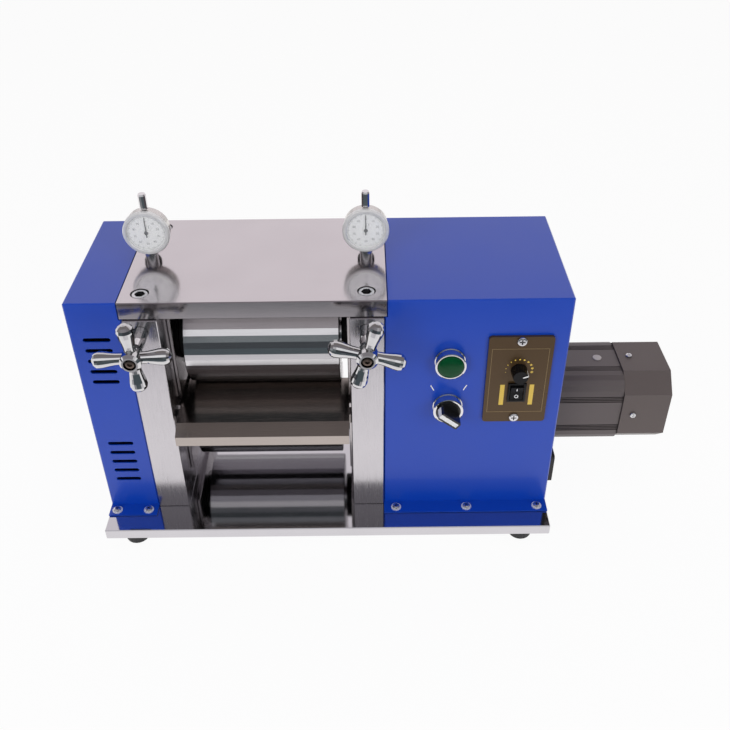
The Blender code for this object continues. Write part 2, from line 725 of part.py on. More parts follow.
def make_drive_housing():
    edge = RIGHT_OUTER + FIT
    shell = housing("drive_housing", edge, BASE_LENGTH, "right")
    notch = PRESS_CENTRE + PLATE_WIDTH / 2 + FIT
    cut(
        shell,
        box((edge - OVERRUN, -OVERRUN, FRAME_HEIGHT), (notch, PLATE_DEPTH + OVERRUN, HOUSING_TOP + OVERRUN)),
    )
    panel = bmesh.new()
    for height in (LAMP_HEIGHT, SELECTOR_HEIGHT):
        add_prism(panel, circle_outline(BARREL_RADIUS + FIT, SMALL, DEVICE_X, height), -OVERRUN, OVERRUN, "Y")
    opening = shifted(
        rounded_outline(CONTROLLER_BOX_WIDTH + 2 * FIT, CONTROLLER_BOX_TALL + 2 * FIT, CONTROLLER_CORNER),
        CONTROLLER_X,
        CONTROLLER_HEIGHT,
    )
    add_prism(panel, opening, -OVERRUN, OVERRUN, "Y")
    cut(shell, panel)
    side = bmesh.new()
    hole = shifted(motor_outline(MOTOR_HOLE_CLEARANCE), ROLL_Y, MOTOR_HEIGHT)
    add_prism(side, hole, BASE_LENGTH - OVERRUN, BASE_LENGTH + OVERRUN, "X")
    inlet = shifted(
        rounded_outline(INLET_BODY_WIDTH + 2 * FIT, INLET_BODY_TALL + 2 * FIT, INLET_CORNER),
        INLET_PLACE + INLET_WIDTH / 2,
        INLET_BOTTOM + INLET_TALL / 2,
    )
    add_prism(side, inlet, BASE_LENGTH - OVERRUN, BASE_LENGTH + OVERRUN, "X")
    cut(shell, side)


def make_feed_tray():
    """A flat sheet level with the nip, bent down in front into a straight lip."""
    top = NIP_HEIGHT + TRAY_LEVEL
    back = ROLL_Y - TRAY_NIP_GAP
    lip = -TRAY_LIP_REACH
    outline = [
        (back, top),
        (-TRAY_BEND, top),
        (lip, top - TRAY_LIP_TOP),
        (lip, top - TRAY_LIP_BOTTOM),
        (lip + TRAY_THICK, top - TRAY_LIP_BOTTOM),
        (lip + TRAY_THICK, top - TRAY_LIP_TOP - TRAY_THICK / 2),
        (-TRAY_BEND + TRAY_THICK / 2, top - TRAY_THICK),
        (back, top - TRAY_THICK),
    ]
    half = TRAY_WIDTH / 2
    node("feed_tray", prism(outline, -half, half, "X"), spot(PRESS_CENTRE, 0, 0), ground_steel())
    bar_top = top - TRAY_THICK - FIT
    low = (LEFT_INNER + FIT, TRAY_BAR_PLACE, bar_top - TRAY_BAR_SIZE)
    high = (RIGHT_INNER - FIT, TRAY_BAR_PLACE + TRAY_BAR_SIZE, bar_top)
    node("tray_bar", box(low, high), spot(0, 0, 0), ground_steel(), FRAME_BEVEL)


def roll_profile(right_stub):
    """Points of the roll from its gear end to its drive end, about the roll's middle."""
    face = ROLL_LENGTH / 2
    reach = FRAME_SPACING / 2 + FRAME_THICK + JOURNAL_END_GAP
    left = [
        (STUB_RADIUS, -reach - GEAR_STUB_LENGTH),
        (STUB_RADIUS, -reach),
        (JOURNAL_RADIUS, -reach),
        (JOURNAL_RADIUS, -face),
        (ROLL_RADIUS - ROLL_CHAMFER, -face),
        (ROLL_RADIUS, -face + ROLL_CHAMFER),
    ]
    right = [
        (ROLL_RADIUS, face - ROLL_CHAMFER),
        (ROLL_RADIUS - ROLL_CHAMFER, face),
        (JOURNAL_RADIUS, face),
        (JOURNAL_RADIUS, reach),
    ]
    if right_stub:
        right += [(STUB_RADIUS, reach), (STUB_RADIUS, reach + right_stub)]
    return left + right


def make_rolls():
    heights = (("upper_roll", UPPER_ROLL_HEIGHT, 0), ("lower_roll", LOWER_ROLL_HEIGHT, DRIVE_STUB_LENGTH))
    for name, height, stub in heights:
        node(name, turned(roll_profile(stub), "X", FINE), spot(PRESS_CENTRE, ROLL_Y, height), chrome())


def make_bearing_block(side, level):
    """A block that fills the frame's window, with a keeper flange inside; its origin is its bore."""
    inward = INWARD[side]
    height = UPPER_ROLL_HEIGHT if level == "upper" else LOWER_ROLL_HEIGHT
    inner = LEFT_INNER if side == "left" else RIGHT_INNER
    body = WINDOW_WIDTH / 2 - FIT
    keeper = KEEPER_WIDTH / 2
    outline = [
        (-FRAME_THICK, -body),
        (FIT, -body),
        (FIT, -keeper),
        (FIT + KEEPER_THICK, -keeper),
        (FIT + KEEPER_THICK, keeper),
        (FIT, keeper),
        (FIT, body),
        (-FRAME_THICK, body),
    ]
    outline = [(inward * x, y) for x, y in outline]
    mesh = prism(outline, -BLOCK_HEIGHT / 2, BLOCK_HEIGHT / 2, "Z")
    if level == "upper":
        for vert in mesh.verts:
            if vert.co.z > 0:
                vert.co.z += WEDGE_SLOPE * vert.co.y
    place = spot(inner, ROLL_Y, height)
    block = node(f"bearing_block_{level}_{side}", mesh, place, ground_steel(), BLOCK_BEVEL)
    middle = -inward * FRAME_THICK / 2
    pocket = rod(SPRING_POCKET_RADIUS, -SPRING_POCKET_DEPTH, SPRING_POCKET_DEPTH, "Z")
    edge = -BLOCK_HEIGHT / 2 if level == "upper" else BLOCK_HEIGHT / 2
    cut(block, moved(pocket, middle, 0, edge))
    if level == "upper":
        post = rod(POST_RADIUS, BLOCK_HEIGHT / 2 - OVERRUN, POST_TOP - height, "Z", 12)
        join(block, moved(post, middle, GAUGE_PLACE - ROLL_Y, 0))
    reach = FIT + KEEPER_THICK
    seat_back = reach - BEARING_WIDTH - FIT
    cut(block, rod(BEARING_RADIUS + FIT, inward * seat_back, inward * (reach + OVERRUN), "X", ROUND))
    through = rod(BLOCK_THROUGH_RADIUS, -inward * (FRAME_THICK + OVERRUN), inward * reach, "X", ROUND)
    cut(block, through)


def make_bearing(side, level):
    """A bearing ring with its dark seal standing out towards the roll."""
    inward = INWARD[side]
    height = UPPER_ROLL_HEIGHT if level == "upper" else LOWER_ROLL_HEIGHT
    inner = LEFT_INNER if side == "left" else RIGHT_INNER
    bore = JOURNAL_RADIUS + FIT
    face = FIT + KEEPER_THICK
    profile = [
        (bore, face - BEARING_WIDTH),
        (BEARING_RADIUS, face - BEARING_WIDTH),
        (BEARING_RADIUS, face),
        (SEAL_RADIUS, face),
        (SEAL_RADIUS, face + SEAL_REACH - SEAL_CHAMFER),
        (SEAL_RADIUS - SEAL_CHAMFER, face + SEAL_REACH),
        (bore, face + SEAL_REACH),
    ]
    profile = [(radius, inward * place) for radius, place in profile]
    place = spot(inner, ROLL_Y, height)
    node(f"bearing_{level}_{side}", turned(profile, "X", ROUND, ring=True), place, dark_steel())


def make_lift_spring(side):
    """A coil spring between the two bearing blocks, in a pocket of each."""
    bottom = LOWER_ROLL_HEIGHT + BLOCK_HEIGHT / 2 - SPRING_POCKET_DEPTH + FIT + SPRING_WIRE_RADIUS
    top = UPPER_ROLL_HEIGHT - BLOCK_HEIGHT / 2 + SPRING_POCKET_DEPTH - SPRING_END_GAP - SPRING_WIRE_RADIUS
    steps_per_turn = 9
    steps = SPRING_TURNS * steps_per_turn
    curve = bpy.data.curves.new(f"lift_spring_{side}", "CURVE")
    curve.dimensions = "3D"
    curve.bevel_depth = SPRING_WIRE_RADIUS
    curve.bevel_resolution = 1
    curve.use_fill_caps = True
    spline = curve.splines.new("POLY")
    spline.points.add(steps)
    for i, point in enumerate(spline.points):
        angle = tau * i / steps_per_turn
        radius = SPRING_RADIUS
        point.co = (radius * cos(angle), radius * sin(angle), (top - bottom) * i / steps, 1)
    curve.materials.append(dark_steel())
    spring = bpy.data.objects.new(curve.name, curve)
    spring.location = spot(FRAME_MIDDLES[side], ROLL_Y, bottom)
    bpy.context.scene.collection.objects.link(spring)


def make_wedge(side):
    """A wedge with a bored nose for the screw and a slot behind it for the gauge's post."""
    block_top = UPPER_ROLL_HEIGHT + BLOCK_HEIGHT / 2 - ADJUST_HEIGHT + FIT
    half = WEDGE_LENGTH / 2
    outline = [
        (-half, block_top + WEDGE_SLOPE * (WEDGE_OFFSET - half)),
        (half, block_top + WEDGE_SLOPE * (WEDGE_OFFSET + half)),
        (half, FRAME_HEIGHT - ADJUST_HEIGHT),
        (-half, FRAME_HEIGHT - ADJUST_HEIGHT),
    ]
    mesh = prism(outline, -WEDGE_WIDTH / 2, WEDGE_WIDTH / 2, "X")
    place = spot(FRAME_MIDDLES[side], ROLL_Y + WEDGE_OFFSET, ADJUST_HEIGHT)
    wedge = node(f"wedge_{side}", mesh, place, dark_steel(), WEDGE_BEVEL)
    slot = ADJUST_RADIUS + 2 * FIT
    nose = WEDGE_NOSE - half
    low = (-slot, nose, -WEDGE_LENGTH)
    cut(wedge, box(low, (slot, half - WEDGE_TAIL, WEDGE_LENGTH)))
    cut(wedge, rod(ADJUST_RADIUS + FIT, -half - OVERRUN, nose + OVERRUN, "Y"))


def make_adjuster(side):
    """The long screw, the sleeve it turns in and the cross handle, all about the screw's axis."""
    place = spot(FRAME_MIDDLES[side], 0, ADJUST_HEIGHT)
    seat = -HANDLE_FRONT + RECESS_DEPTH
    screw = rod(ADJUST_RADIUS, seat - FIT, ADJUST_BACK, "Y")
    node(f"adjusting_screw_{side}", screw, place, dark_steel())
    window = ROLL_Y - WINDOW_WIDTH / 2
    bore = ADJUST_RADIUS + FIT
    profile = [
        (bore, -SLEEVE_FRONT),
        (SLEEVE_TIP_RADIUS, -SLEEVE_FRONT),
        (SLEEVE_RADIUS, -SLEEVE_FRONT + SLEEVE_TAPER),
        (SLEEVE_RADIUS, window - FIT),
        (bore, window - FIT),
    ]
    node(f"screw_sleeve_{side}", turned(profile, "Y", SMALL, ring=True), place, chrome())


def arm_profile():
    """An arm that swells from the hub to a round, plump end."""
    root, plump = ARM_ROOT_RADIUS, ARM_TIP_RADIUS
    start = (ADJUST_RADIUS + FIT + HUB_RADIUS) / 2
    widest = HANDLE_REACH - plump * 0.85
    swell = [(0, 0), (0.25, 0.1), (0.5, 0.42), (0.75, 0.82), (1, 1)]
    points = [(root, start)]
    for share, rise in swell:
        points.append((root + (plump - root) * rise, HUB_RADIUS + (widest - HUB_RADIUS) * share))
    dome = HANDLE_REACH - widest
    for turn in (25, 48, 68, 83):
        points.append((plump * cos(radians(turn)), widest + dome * sin(radians(turn))))
    return points


def make_cross_handle(side, tilt):
    bore = ADJUST_RADIUS + FIT
    recess = -HANDLE_FRONT + RECESS_DEPTH
    profile = [
        (bore, -HANDLE_BACK),
        (HUB_NECK_RADIUS, -HANDLE_BACK),
        (HUB_RADIUS, -HANDLE_PLANE + HUB_NECK_RADIUS / 2),
        (HUB_RADIUS, -HANDLE_FRONT + HUB_RIM),
        (HUB_RADIUS - HUB_RIM, -HANDLE_FRONT),
        (RECESS_RADIUS, -HANDLE_FRONT),
        (RECESS_RADIUS, recess),
        (bore, recess),
    ]
    hub = turned(profile, "Y", ROUND, ring=True)
    place = spot(FRAME_MIDDLES[side], 0, ADJUST_HEIGHT)
    handle = node(f"cross_handle_{side}", hub, place, chrome())
    handle.rotation_euler = (0, tilt, 0)
    arm = arm_profile()
    for axis, direction in (("X", 1), ("X", -1), ("Z", 1), ("Z", -1)):
        points = [(radius, direction * place_along) for radius, place_along in arm]
        join(handle, moved(turned(points, axis, ARM_SIDES), 0, -HANDLE_PLANE, 0))


def make_dial_gauge(side):
    """Case with its stem, bezel with its face, needle, and the spindle that stands on the block's post."""
    centre = HOUSING_TOP + GAUGE_HEIGHT
    case_radius = BEZEL_RADIUS - BEZEL_WALL - FIT
    face_back = FACE_SETBACK + FACE_THICK
    front = DIAL_FRONT + face_back + FIT
    profile = [
        (case_radius, front - GAUGE_PLACE),
        (case_radius, DIAL_BACK - CASE_BEVEL - GAUGE_PLACE),
        (case_radius - CASE_BEVEL, DIAL_BACK - GAUGE_PLACE),
    ]
    place = spot(FRAME_MIDDLES[side], GAUGE_PLACE, centre)
    case = node(f"dial_case_{side}", turned(profile, "Y", ROUND), place, satin_aluminium())
    stem_end = PLATE_BOTTOM + FIT - centre
    holder_top = -BEZEL_RADIUS - CAP_CLEARANCE
    stem = [
        (HOLDER_RADIUS, stem_end),
        (HOLDER_RADIUS, holder_top),
        (STEM_RADIUS, holder_top),
        (STEM_RADIUS, -case_radius / 2),
    ]
    join(case, turned(stem, "Z", SMALL))
    bore = SPINDLE_RADIUS + FIT
    cut(case, rod(bore, stem_end - OVERRUN, case_radius + OVERRUN, "Z", 12))
    inside = front - GAUGE_PLACE
    cut(case, rod(ARBOR_RADIUS + FIT, inside - OVERRUN, inside + ARBOR_LENGTH, "Y", 12))

    window = BEZEL_RADIUS - BEZEL_LIP
    hole = ARBOR_RADIUS + FIT
    ring = [
        (hole, FACE_SETBACK),
        (window, FACE_SETBACK),
        (window, BEZEL_EDGE),
        (window + BEZEL_EDGE, 0),
        (BEZEL_RADIUS - BEZEL_EDGE, 0),
        (BEZEL_RADIUS, BEZEL_EDGE),
        (BEZEL_RADIUS, BEZEL_DEPTH),
        (BEZEL_RADIUS - BEZEL_WALL, BEZEL_DEPTH),
        (BEZEL_RADIUS - BEZEL_WALL, face_back),
        (hole, face_back),
    ]
    place = spot(FRAME_MIDDLES[side], DIAL_FRONT, centre)
    node(f"dial_bezel_{side}", turned(ring, "Y", ROUND, ring=True), place, satin_aluminium())

    needle_y = FACE_SETBACK - FIT - NEEDLE_THICK
    blade = [
        (-NEEDLE_WIDTH / 2, -NEEDLE_TAIL),
        (NEEDLE_WIDTH / 2, -NEEDLE_TAIL),
        (NEEDLE_WIDTH / 4, NEEDLE_LENGTH),
        (-NEEDLE_WIDTH / 4, NEEDLE_LENGTH),
    ]
    mesh = prism(blade, needle_y, needle_y + NEEDLE_THICK, "Y")
    needle = node(f"dial_needle_{side}", mesh, place, black_plastic())
    join(needle, rod(NEEDLE_HUB_RADIUS, needle_y - NEEDLE_THICK / 2, needle_y + NEEDLE_THICK / 2, "Y", 12))
    join(needle, rod(ARBOR_RADIUS, needle_y, face_back + ARBOR_LENGTH, "Y", 12))

    cap_bottom = case_radius + CAP_CLEARANCE
    tip = POST_TOP + FIT - centre
    spindle = [
        (SPINDLE_RADIUS, tip),
        (SPINDLE_RADIUS, cap_bottom),
        (CAP_RADIUS, cap_bottom),
        (CAP_RADIUS, cap_bottom + CAP_HEIGHT - CAP_CLEARANCE),
        (CAP_RADIUS - CAP_CLEARANCE / 2, cap_bottom + CAP_HEIGHT),
    ]
    place = spot(FRAME_MIDDLES[side], GAUGE_PLACE, centre)
    node(f"dial_plunger_{side}", turned(spindle, "Z", 12), place, chrome())


def gear_outline(half_turn):
    """Teeth about the axis, narrower at the tip; half_turn puts a space instead of a tooth at angle zero."""
    step = tau / GEAR_TEETH
    points = []
    for i in range(GEAR_TEETH):
        middle = i * step + (step / 2 if half_turn else 0)
        corners = (
            (-TOOTH_ROOT_SHARE, PITCH_RADIUS - TOOTH_BELOW),
            (-TOOTH_PITCH_SHARE, PITCH_RADIUS),
            (-TOOTH_TIP_SHARE, PITCH_RADIUS + TOOTH_ABOVE),
            (TOOTH_TIP_SHARE, PITCH_RADIUS + TOOTH_ABOVE),
            (TOOTH_PITCH_SHARE, PITCH_RADIUS),
            (TOOTH_ROOT_SHARE, PITCH_RADIUS - TOOTH_BELOW),
        )
        for share, radius in corners:
            angle = middle + share * step
            points.append((radius * cos(angle), radius * sin(angle)))
    return points


def make_gears():
    rows = (("upper_gear", UPPER_ROLL_HEIGHT, True), ("lower_gear", LOWER_ROLL_HEIGHT, False))
    for name, height, half_turn in rows:
        mesh = prism(gear_outline(half_turn), 0, GEAR_WIDTH, "X")
        gear = node(name, mesh, spot(GEAR_PLACE, ROLL_Y, height), dark_steel())
        cut(gear, rod(STUB_RADIUS + FIT, -OVERRUN, GEAR_WIDTH + OVERRUN, "X", ROUND))


def make_drive():
    """Coupling on the lower roll's shaft, bracket, gearbox, motor, fan and fan cover."""
    start = RIGHT_OUTER + COUPLING_START
    stub_end = RIGHT_OUTER + JOURNAL_END_GAP + DRIVE_STUB_LENGTH - start
    profile = [
        (STUB_RADIUS + FIT, 0),
        (COUPLING_RADIUS, 0),
        (COUPLING_RADIUS, COUPLING_LENGTH),
        (OUTPUT_RADIUS, COUPLING_LENGTH),
        (OUTPUT_RADIUS, COUPLING_LENGTH + OUTPUT_REACH),
    ]
    mesh = turned(profile[1:], "X", ROUND)
    coupling = node("shaft_coupling", mesh, spot(start, ROLL_Y, LOWER_ROLL_HEIGHT), dark_steel())
    cut(coupling, rod(STUB_RADIUS + FIT, -OVERRUN, stub_end + FIT, "X", ROUND))

    half = GEARBOX_SIZE / 2
    top = MOTOR_HEIGHT + half + BRACKET_MARGIN
    upright = [
        (-half, FIT),
        (half, FIT),
        (half, top),
        (-half, top),
    ]
    mesh = prism(upright, 0, BRACKET_THICK, "X")
    bracket = node("motor_bracket", mesh, spot(BRACKET_X, ROLL_Y, 0), dark_steel())
    join(bracket, box((0, -half, FIT), (BRACKET_FOOT, half, FIT + BRACKET_THICK)))
    hole = rod(BOSS_RADIUS + FIT, -OVERRUN, BRACKET_THICK + OVERRUN, "X", ROUND)
    cut(bracket, moved(hole, 0, 0, LOWER_ROLL_HEIGHT))

    square = rounded_outline(GEARBOX_SIZE, GEARBOX_SIZE, GEARBOX_BEVEL, 2)
    mesh = prism(square, 0, GEARBOX_LENGTH, "X")
    gearbox = node("gearbox", mesh, spot(GEARBOX_X, ROLL_Y, MOTOR_HEIGHT), motor_paint())
    boss = rod(BOSS_RADIUS, -BRACKET_THICK, BRACKET_THICK, "X", ROUND)
    join(gearbox, moved(boss, 0, 0, -MOTOR_OFFSET))
    shaft_end = start + COUPLING_LENGTH + OUTPUT_REACH - GEARBOX_X
    bore = rod(OUTPUT_RADIUS + FIT, -BRACKET_THICK - OVERRUN, shaft_end + FIT, "X")
    cut(gearbox, moved(bore, 0, 0, -MOTOR_OFFSET))

    mesh = prism(motor_outline(), 0, MOTOR_END - MOTOR_X, "X")
    motor = node("motor_body", mesh, spot(MOTOR_X, ROLL_Y, MOTOR_HEIGHT), motor_paint())
    length = MOTOR_END - MOTOR_X
    cut(motor, rod(FAN_SHAFT_RADIUS + FIT, length - FAN_SEAT_DEPTH, length + OVERRUN, "X"))


def chamfered_square(size, chamfer):
    half = size / 2
    near = half - chamfer
    return [
        (half, -near),
        (half, near),
        (near, half),
        (-near, half),
        (-half, near),
        (-half, -near),
        (-near, -half),
        (near, -half),
    ]


def make_fan_cover():
    mesh = prism(chamfered_square(COVER_SIZE, COVER_CHAMFER), 0, COVER_LENGTH, "X")
    place = spot(MOTOR_END + FIT, ROLL_Y, MOTOR_HEIGHT)
    cover = node("fan_cover", mesh, place, motor_paint())
    inner = chamfered_square(COVER_SIZE - 2 * COVER_WALL, COVER_CHAMFER - COVER_WALL / 2)
    cut(cover, prism(inner, -OVERRUN, COVER_LENGTH - COVER_WALL, "X"))
    grille = bmesh.new()
    slot = rounded_outline(COVER_SLOT_LENGTH, COVER_SLOT_HEIGHT, COVER_SLOT_HEIGHT / 2, 3)
    for i in range(COVER_SLOT_COUNT):
        up = (i - (COVER_SLOT_COUNT - 1) / 2) * COVER_SLOT_PITCH
        inside = COVER_LENGTH - COVER_WALL
        add_prism(grille, shifted(slot, 0, up), inside - OVERRUN, COVER_LENGTH + OVERRUN, "X")
    cut(cover, grille)


def make_motor_fan():
    """Hub, disc and straight blades on the end of the motor's shaft."""
    disc = FAN_SHAFT_LENGTH
    profile = [
        (FAN_SHAFT_RADIUS, FIT - FAN_SEAT_DEPTH),
        (FAN_SHAFT_RADIUS, disc - FAN_DISC_THICK),
        (FAN_RADIUS, disc - FAN_DISC_THICK),
        (FAN_RADIUS, disc),
        (FAN_HUB_RADIUS, disc),
        (FAN_HUB_RADIUS, disc + FAN_BLADE_WIDTH),
    ]
    place = spot(MOTOR_END, ROLL_Y, MOTOR_HEIGHT)
    fan = node("motor_fan", turned(profile, "X", ROUND), place, black_plastic())
    half = FAN_BLADE_THICK / 2
    for i in range(FAN_BLADES):
        low = (disc - FAN_DISC_THICK / 2, FAN_HUB_RADIUS - FAN_BLADE_THICK, -half)
        high = (disc + FAN_BLADE_WIDTH, FAN_RADIUS - FAN_BLADE_THICK, half)
        blade = box(low, high)
        bmesh.ops.rotate(blade, verts=blade.verts, matrix=Matrix.Rotation(tau * i / FAN_BLADES, 3, "X"))
        join(fan, blade)


def device_profile(mouth):
    """A panel device's chrome collar with a flange on the panel, hollow in front, and its barrel behind."""
    waist = DEVICE_RADIUS - DEVICE_WAIST
    flange = -FIT - DEVICE_FLANGE
    rim = -DEVICE_REACH + 2 * DEVICE_EDGE
    return [
        (BARREL_RADIUS, BARREL_LENGTH),
        (BARREL_RADIUS, -FIT),
        (DEVICE_RADIUS, -FIT),
        (DEVICE_RADIUS, flange),
        (waist, flange - DEVICE_EDGE / 2),
        (waist, rim),
        (DEVICE_RADIUS, rim - DEVICE_EDGE / 2),
        (DEVICE_RADIUS, -DEVICE_REACH + DEVICE_EDGE / 2),
        (DEVICE_RADIUS - DEVICE_EDGE, -DEVICE_REACH),
        (mouth, -DEVICE_REACH),
        (mouth, -DEVICE_REACH + LENS_SEAT_DEPTH),
    ]


def make_lamp():
    place = spot(DEVICE_X, 0, LAMP_HEIGHT)
    node("lamp_bezel", turned(device_profile(LENS_RADIUS + FIT), "Y", ROUND), place, chrome())
    front = -DEVICE_REACH - LENS_REACH
    profile = [
        (LENS_RADIUS, -DEVICE_REACH + LENS_SEAT_DEPTH - FIT),
        (LENS_RADIUS, front + LENS_DOME),
        (LENS_RADIUS * 0.86, front + LENS_DOME * 0.5),
        (LENS_RADIUS * 0.62, front + LENS_DOME * 0.18),
        (LENS_RADIUS * 0.3, front),
    ]
    node("lamp_lens", turned(profile, "Y", ROUND), place, green_lens())


def make_selector():
    place = spot(DEVICE_X, 0, SELECTOR_HEIGHT)
    node("selector_bezel", turned(device_profile(KNOB_RADIUS + FIT), "Y", ROUND), place, chrome())
    back = -DEVICE_REACH + LENS_SEAT_DEPTH - FIT
    front = -DEVICE_REACH - KNOB_DISC_REACH
    disc = turned([(KNOB_RADIUS, back), (KNOB_RADIUS, front)], "Y", ROUND)
    knob = node("selector_knob", disc, place, black_plastic())
    knob.rotation_euler = (0, SELECTOR_TURN, 0)
    lever = rounded_outline(LEVER_WIDTH, 2 * LEVER_HALF, LEVER_CORNER)
    join(knob, prism(lever, front - LEVER_REACH, front + KNOB_DISC_REACH, "Y"))


def make_speed_controller():
    place = spot(CONTROLLER_X, 0, CONTROLLER_HEIGHT)
    plate = rounded_outline(CONTROLLER_WIDTH, CONTROLLER_TALL, CONTROLLER_CORNER)
    mesh = prism(plate, -FIT - CONTROLLER_PLATE, -FIT, "Y")
    unit = node("speed_controller", mesh, place, brown_panel())
    body = rounded_outline(CONTROLLER_BOX_WIDTH, CONTROLLER_BOX_TALL, CONTROLLER_CORNER)
    join(unit, prism(body, -FIT - CONTROLLER_PLATE / 2, CONTROLLER_BOX_DEPTH, "Y"))
    front = -FIT - CONTROLLER_PLATE
    frame = rounded_outline(
        ROCKER_WIDTH + 2 * ROCKER_FRAME + 2 * ROCKER_CLEARANCE,
        ROCKER_TALL + 2 * ROCKER_FRAME + 2 * ROCKER_CLEARANCE,
        ROCKER_FRAME / 2,
        2,
    )
    frame = shifted(frame, 0, -ROCKER_DROP)
    join(unit, prism(frame, front - ROCKER_FRAME_REACH, front + CONTROLLER_PLATE / 2, "Y"))
    well = rounded_outline(
        ROCKER_WIDTH + 2 * ROCKER_CLEARANCE, ROCKER_TALL + 2 * ROCKER_CLEARANCE, ROCKER_FRAME / 4, 1
    )
    well = prism(shifted(well, 0, -ROCKER_DROP), front - OVERRUN, front + ROCKER_WELL_DEPTH, "Y")
    cut(unit, well)
    shaft = rod(SPEED_SHAFT_RADIUS + FIT, front - OVERRUN, front + SPEED_SHAFT_LENGTH + FIT, "Y")
    cut(unit, moved(shaft, 0, 0, SPEED_HEIGHT))

    profile = [
        (SPEED_SHAFT_RADIUS, front + SPEED_SHAFT_LENGTH),
        (SPEED_SHAFT_RADIUS, front - FIT),
        (SPEED_RADIUS, front - FIT),
        (SPEED_TOP_RADIUS, front - SPEED_REACH),
    ]
    place = spot(CONTROLLER_X, 0, CONTROLLER_HEIGHT + SPEED_HEIGHT)
    knob = node("speed_knob", turned(profile, "Y", SMALL), place, black_plastic())
    knob.rotation_euler = (0, SPEED_TURN, 0)
    low = (-SPEED_POINTER / 2, front - SPEED_REACH - SPEED_POINTER / 2, SPEED_TOP_RADIUS / 4)
    high = (SPEED_POINTER / 2, front - SPEED_REACH / 2, SPEED_TOP_RADIUS - SPEED_POINTER)
    join(knob, box(low, high))

    pivot = front + ROCKER_PIVOT
    half = ROCKER_TALL / 2
    rocker = [
        (pivot - ROCKER_REACH - ROCKER_PIVOT, -half + FIT),
        (pivot - ROCKER_REACH, 0),
        (pivot - ROCKER_REACH - ROCKER_PIVOT, half - FIT),
        (pivot + ROCKER_PIVOT, half - FIT),
        (pivot + ROCKER_PIVOT, -half + FIT),
    ]
    mesh = prism([(y - pivot, z) for y, z in rocker], -ROCKER_WIDTH / 2, ROCKER_WIDTH / 2, "X")
    place = spot(CONTROLLER_X, pivot, CONTROLLER_HEIGHT - ROCKER_DROP)
    switch = node("power_rocker", mesh, place, black_plastic())
    switch.rotation_euler = (ROCKER_TILT, 0, 0)


def make_power_inlet():
    place = spot(BASE_LENGTH, INLET_PLACE + INLET_WIDTH / 2, INLET_BOTTOM + INLET_TALL / 2)
    mesh = prism(rounded_outline(INLET_WIDTH, INLET_TALL, INLET_CORNER), FIT, INLET_REACH, "X")
    inlet = node("power_inlet", mesh, place, black_plastic())
    body = rounded_outline(INLET_BODY_WIDTH, INLET_BODY_TALL, INLET_CORNER)
    join(inlet, prism(body, -INLET_BACK, INLET_REACH / 2, "X"))
    socket = rounded_outline(SOCKET_WIDTH, SOCKET_TALL, INLET_CORNER)
    cut(inlet, prism(socket, INLET_REACH - SOCKET_DEPTH, INLET_REACH + OVERRUN, "X"))


def main():
    clear_scene()
    make_base()
    make_top_plate()
    make_top_screws()
    make_gear_housing()
    make_drive_housing()
    make_feed_tray()
    make_rolls()
    for side in ("left", "right"):
        make_side_frame(side)
        make_lift_spring(side)
        make_wedge(side)
        make_adjuster(side)
        make_dial_gauge(side)
        for level in ("upper", "lower"):
            make_bearing_block(side, level)
            make_bearing(side, level)
    make_cross_handle("left", LEFT_HANDLE_TILT)
    make_cross_handle("right", RIGHT_HANDLE_TILT)
    make_gears()
    make_drive()
    make_fan_cover()
    make_motor_fan()
    make_lamp()
    make_selector()
    make_speed_controller()
    make_power_inlet()


main()
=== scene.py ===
"""Looks of the motor-driven rolling press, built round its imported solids.

Places on the press are in metres: across from the left end of the base, back from the housings' front
and up from the base plate's top. at() turns such a place into a place in the scene.
"""

from math import cos, pi, radians, sin, tau

import bmesh
import bpy
from mathutils import Matrix, Vector


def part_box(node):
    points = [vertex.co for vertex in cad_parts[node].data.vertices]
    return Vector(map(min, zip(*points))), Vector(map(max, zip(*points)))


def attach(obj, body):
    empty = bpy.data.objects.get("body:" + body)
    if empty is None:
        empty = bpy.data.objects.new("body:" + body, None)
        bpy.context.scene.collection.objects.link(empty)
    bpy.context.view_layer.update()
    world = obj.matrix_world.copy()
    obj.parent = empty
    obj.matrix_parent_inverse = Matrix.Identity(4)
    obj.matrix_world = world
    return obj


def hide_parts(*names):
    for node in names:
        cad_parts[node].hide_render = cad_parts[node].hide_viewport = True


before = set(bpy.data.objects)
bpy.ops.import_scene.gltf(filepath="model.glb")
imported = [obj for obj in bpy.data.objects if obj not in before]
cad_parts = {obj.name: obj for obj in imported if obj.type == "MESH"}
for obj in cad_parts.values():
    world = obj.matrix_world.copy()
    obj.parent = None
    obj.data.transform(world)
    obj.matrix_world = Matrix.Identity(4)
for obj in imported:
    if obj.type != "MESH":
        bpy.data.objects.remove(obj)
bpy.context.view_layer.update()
bpy.ops.object.select_all(action="DESELECT")

BASE_FRONT = 0.037
base_low, base_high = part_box("base_plate")
CORNER = Vector((base_low.x, base_low.y + BASE_FRONT, base_high.z))


def at(x, y, z):
    return CORNER + Vector((x, y, z))


# Materials. Colours are linear, and a finish's two roughness values are its smooth and its dull places

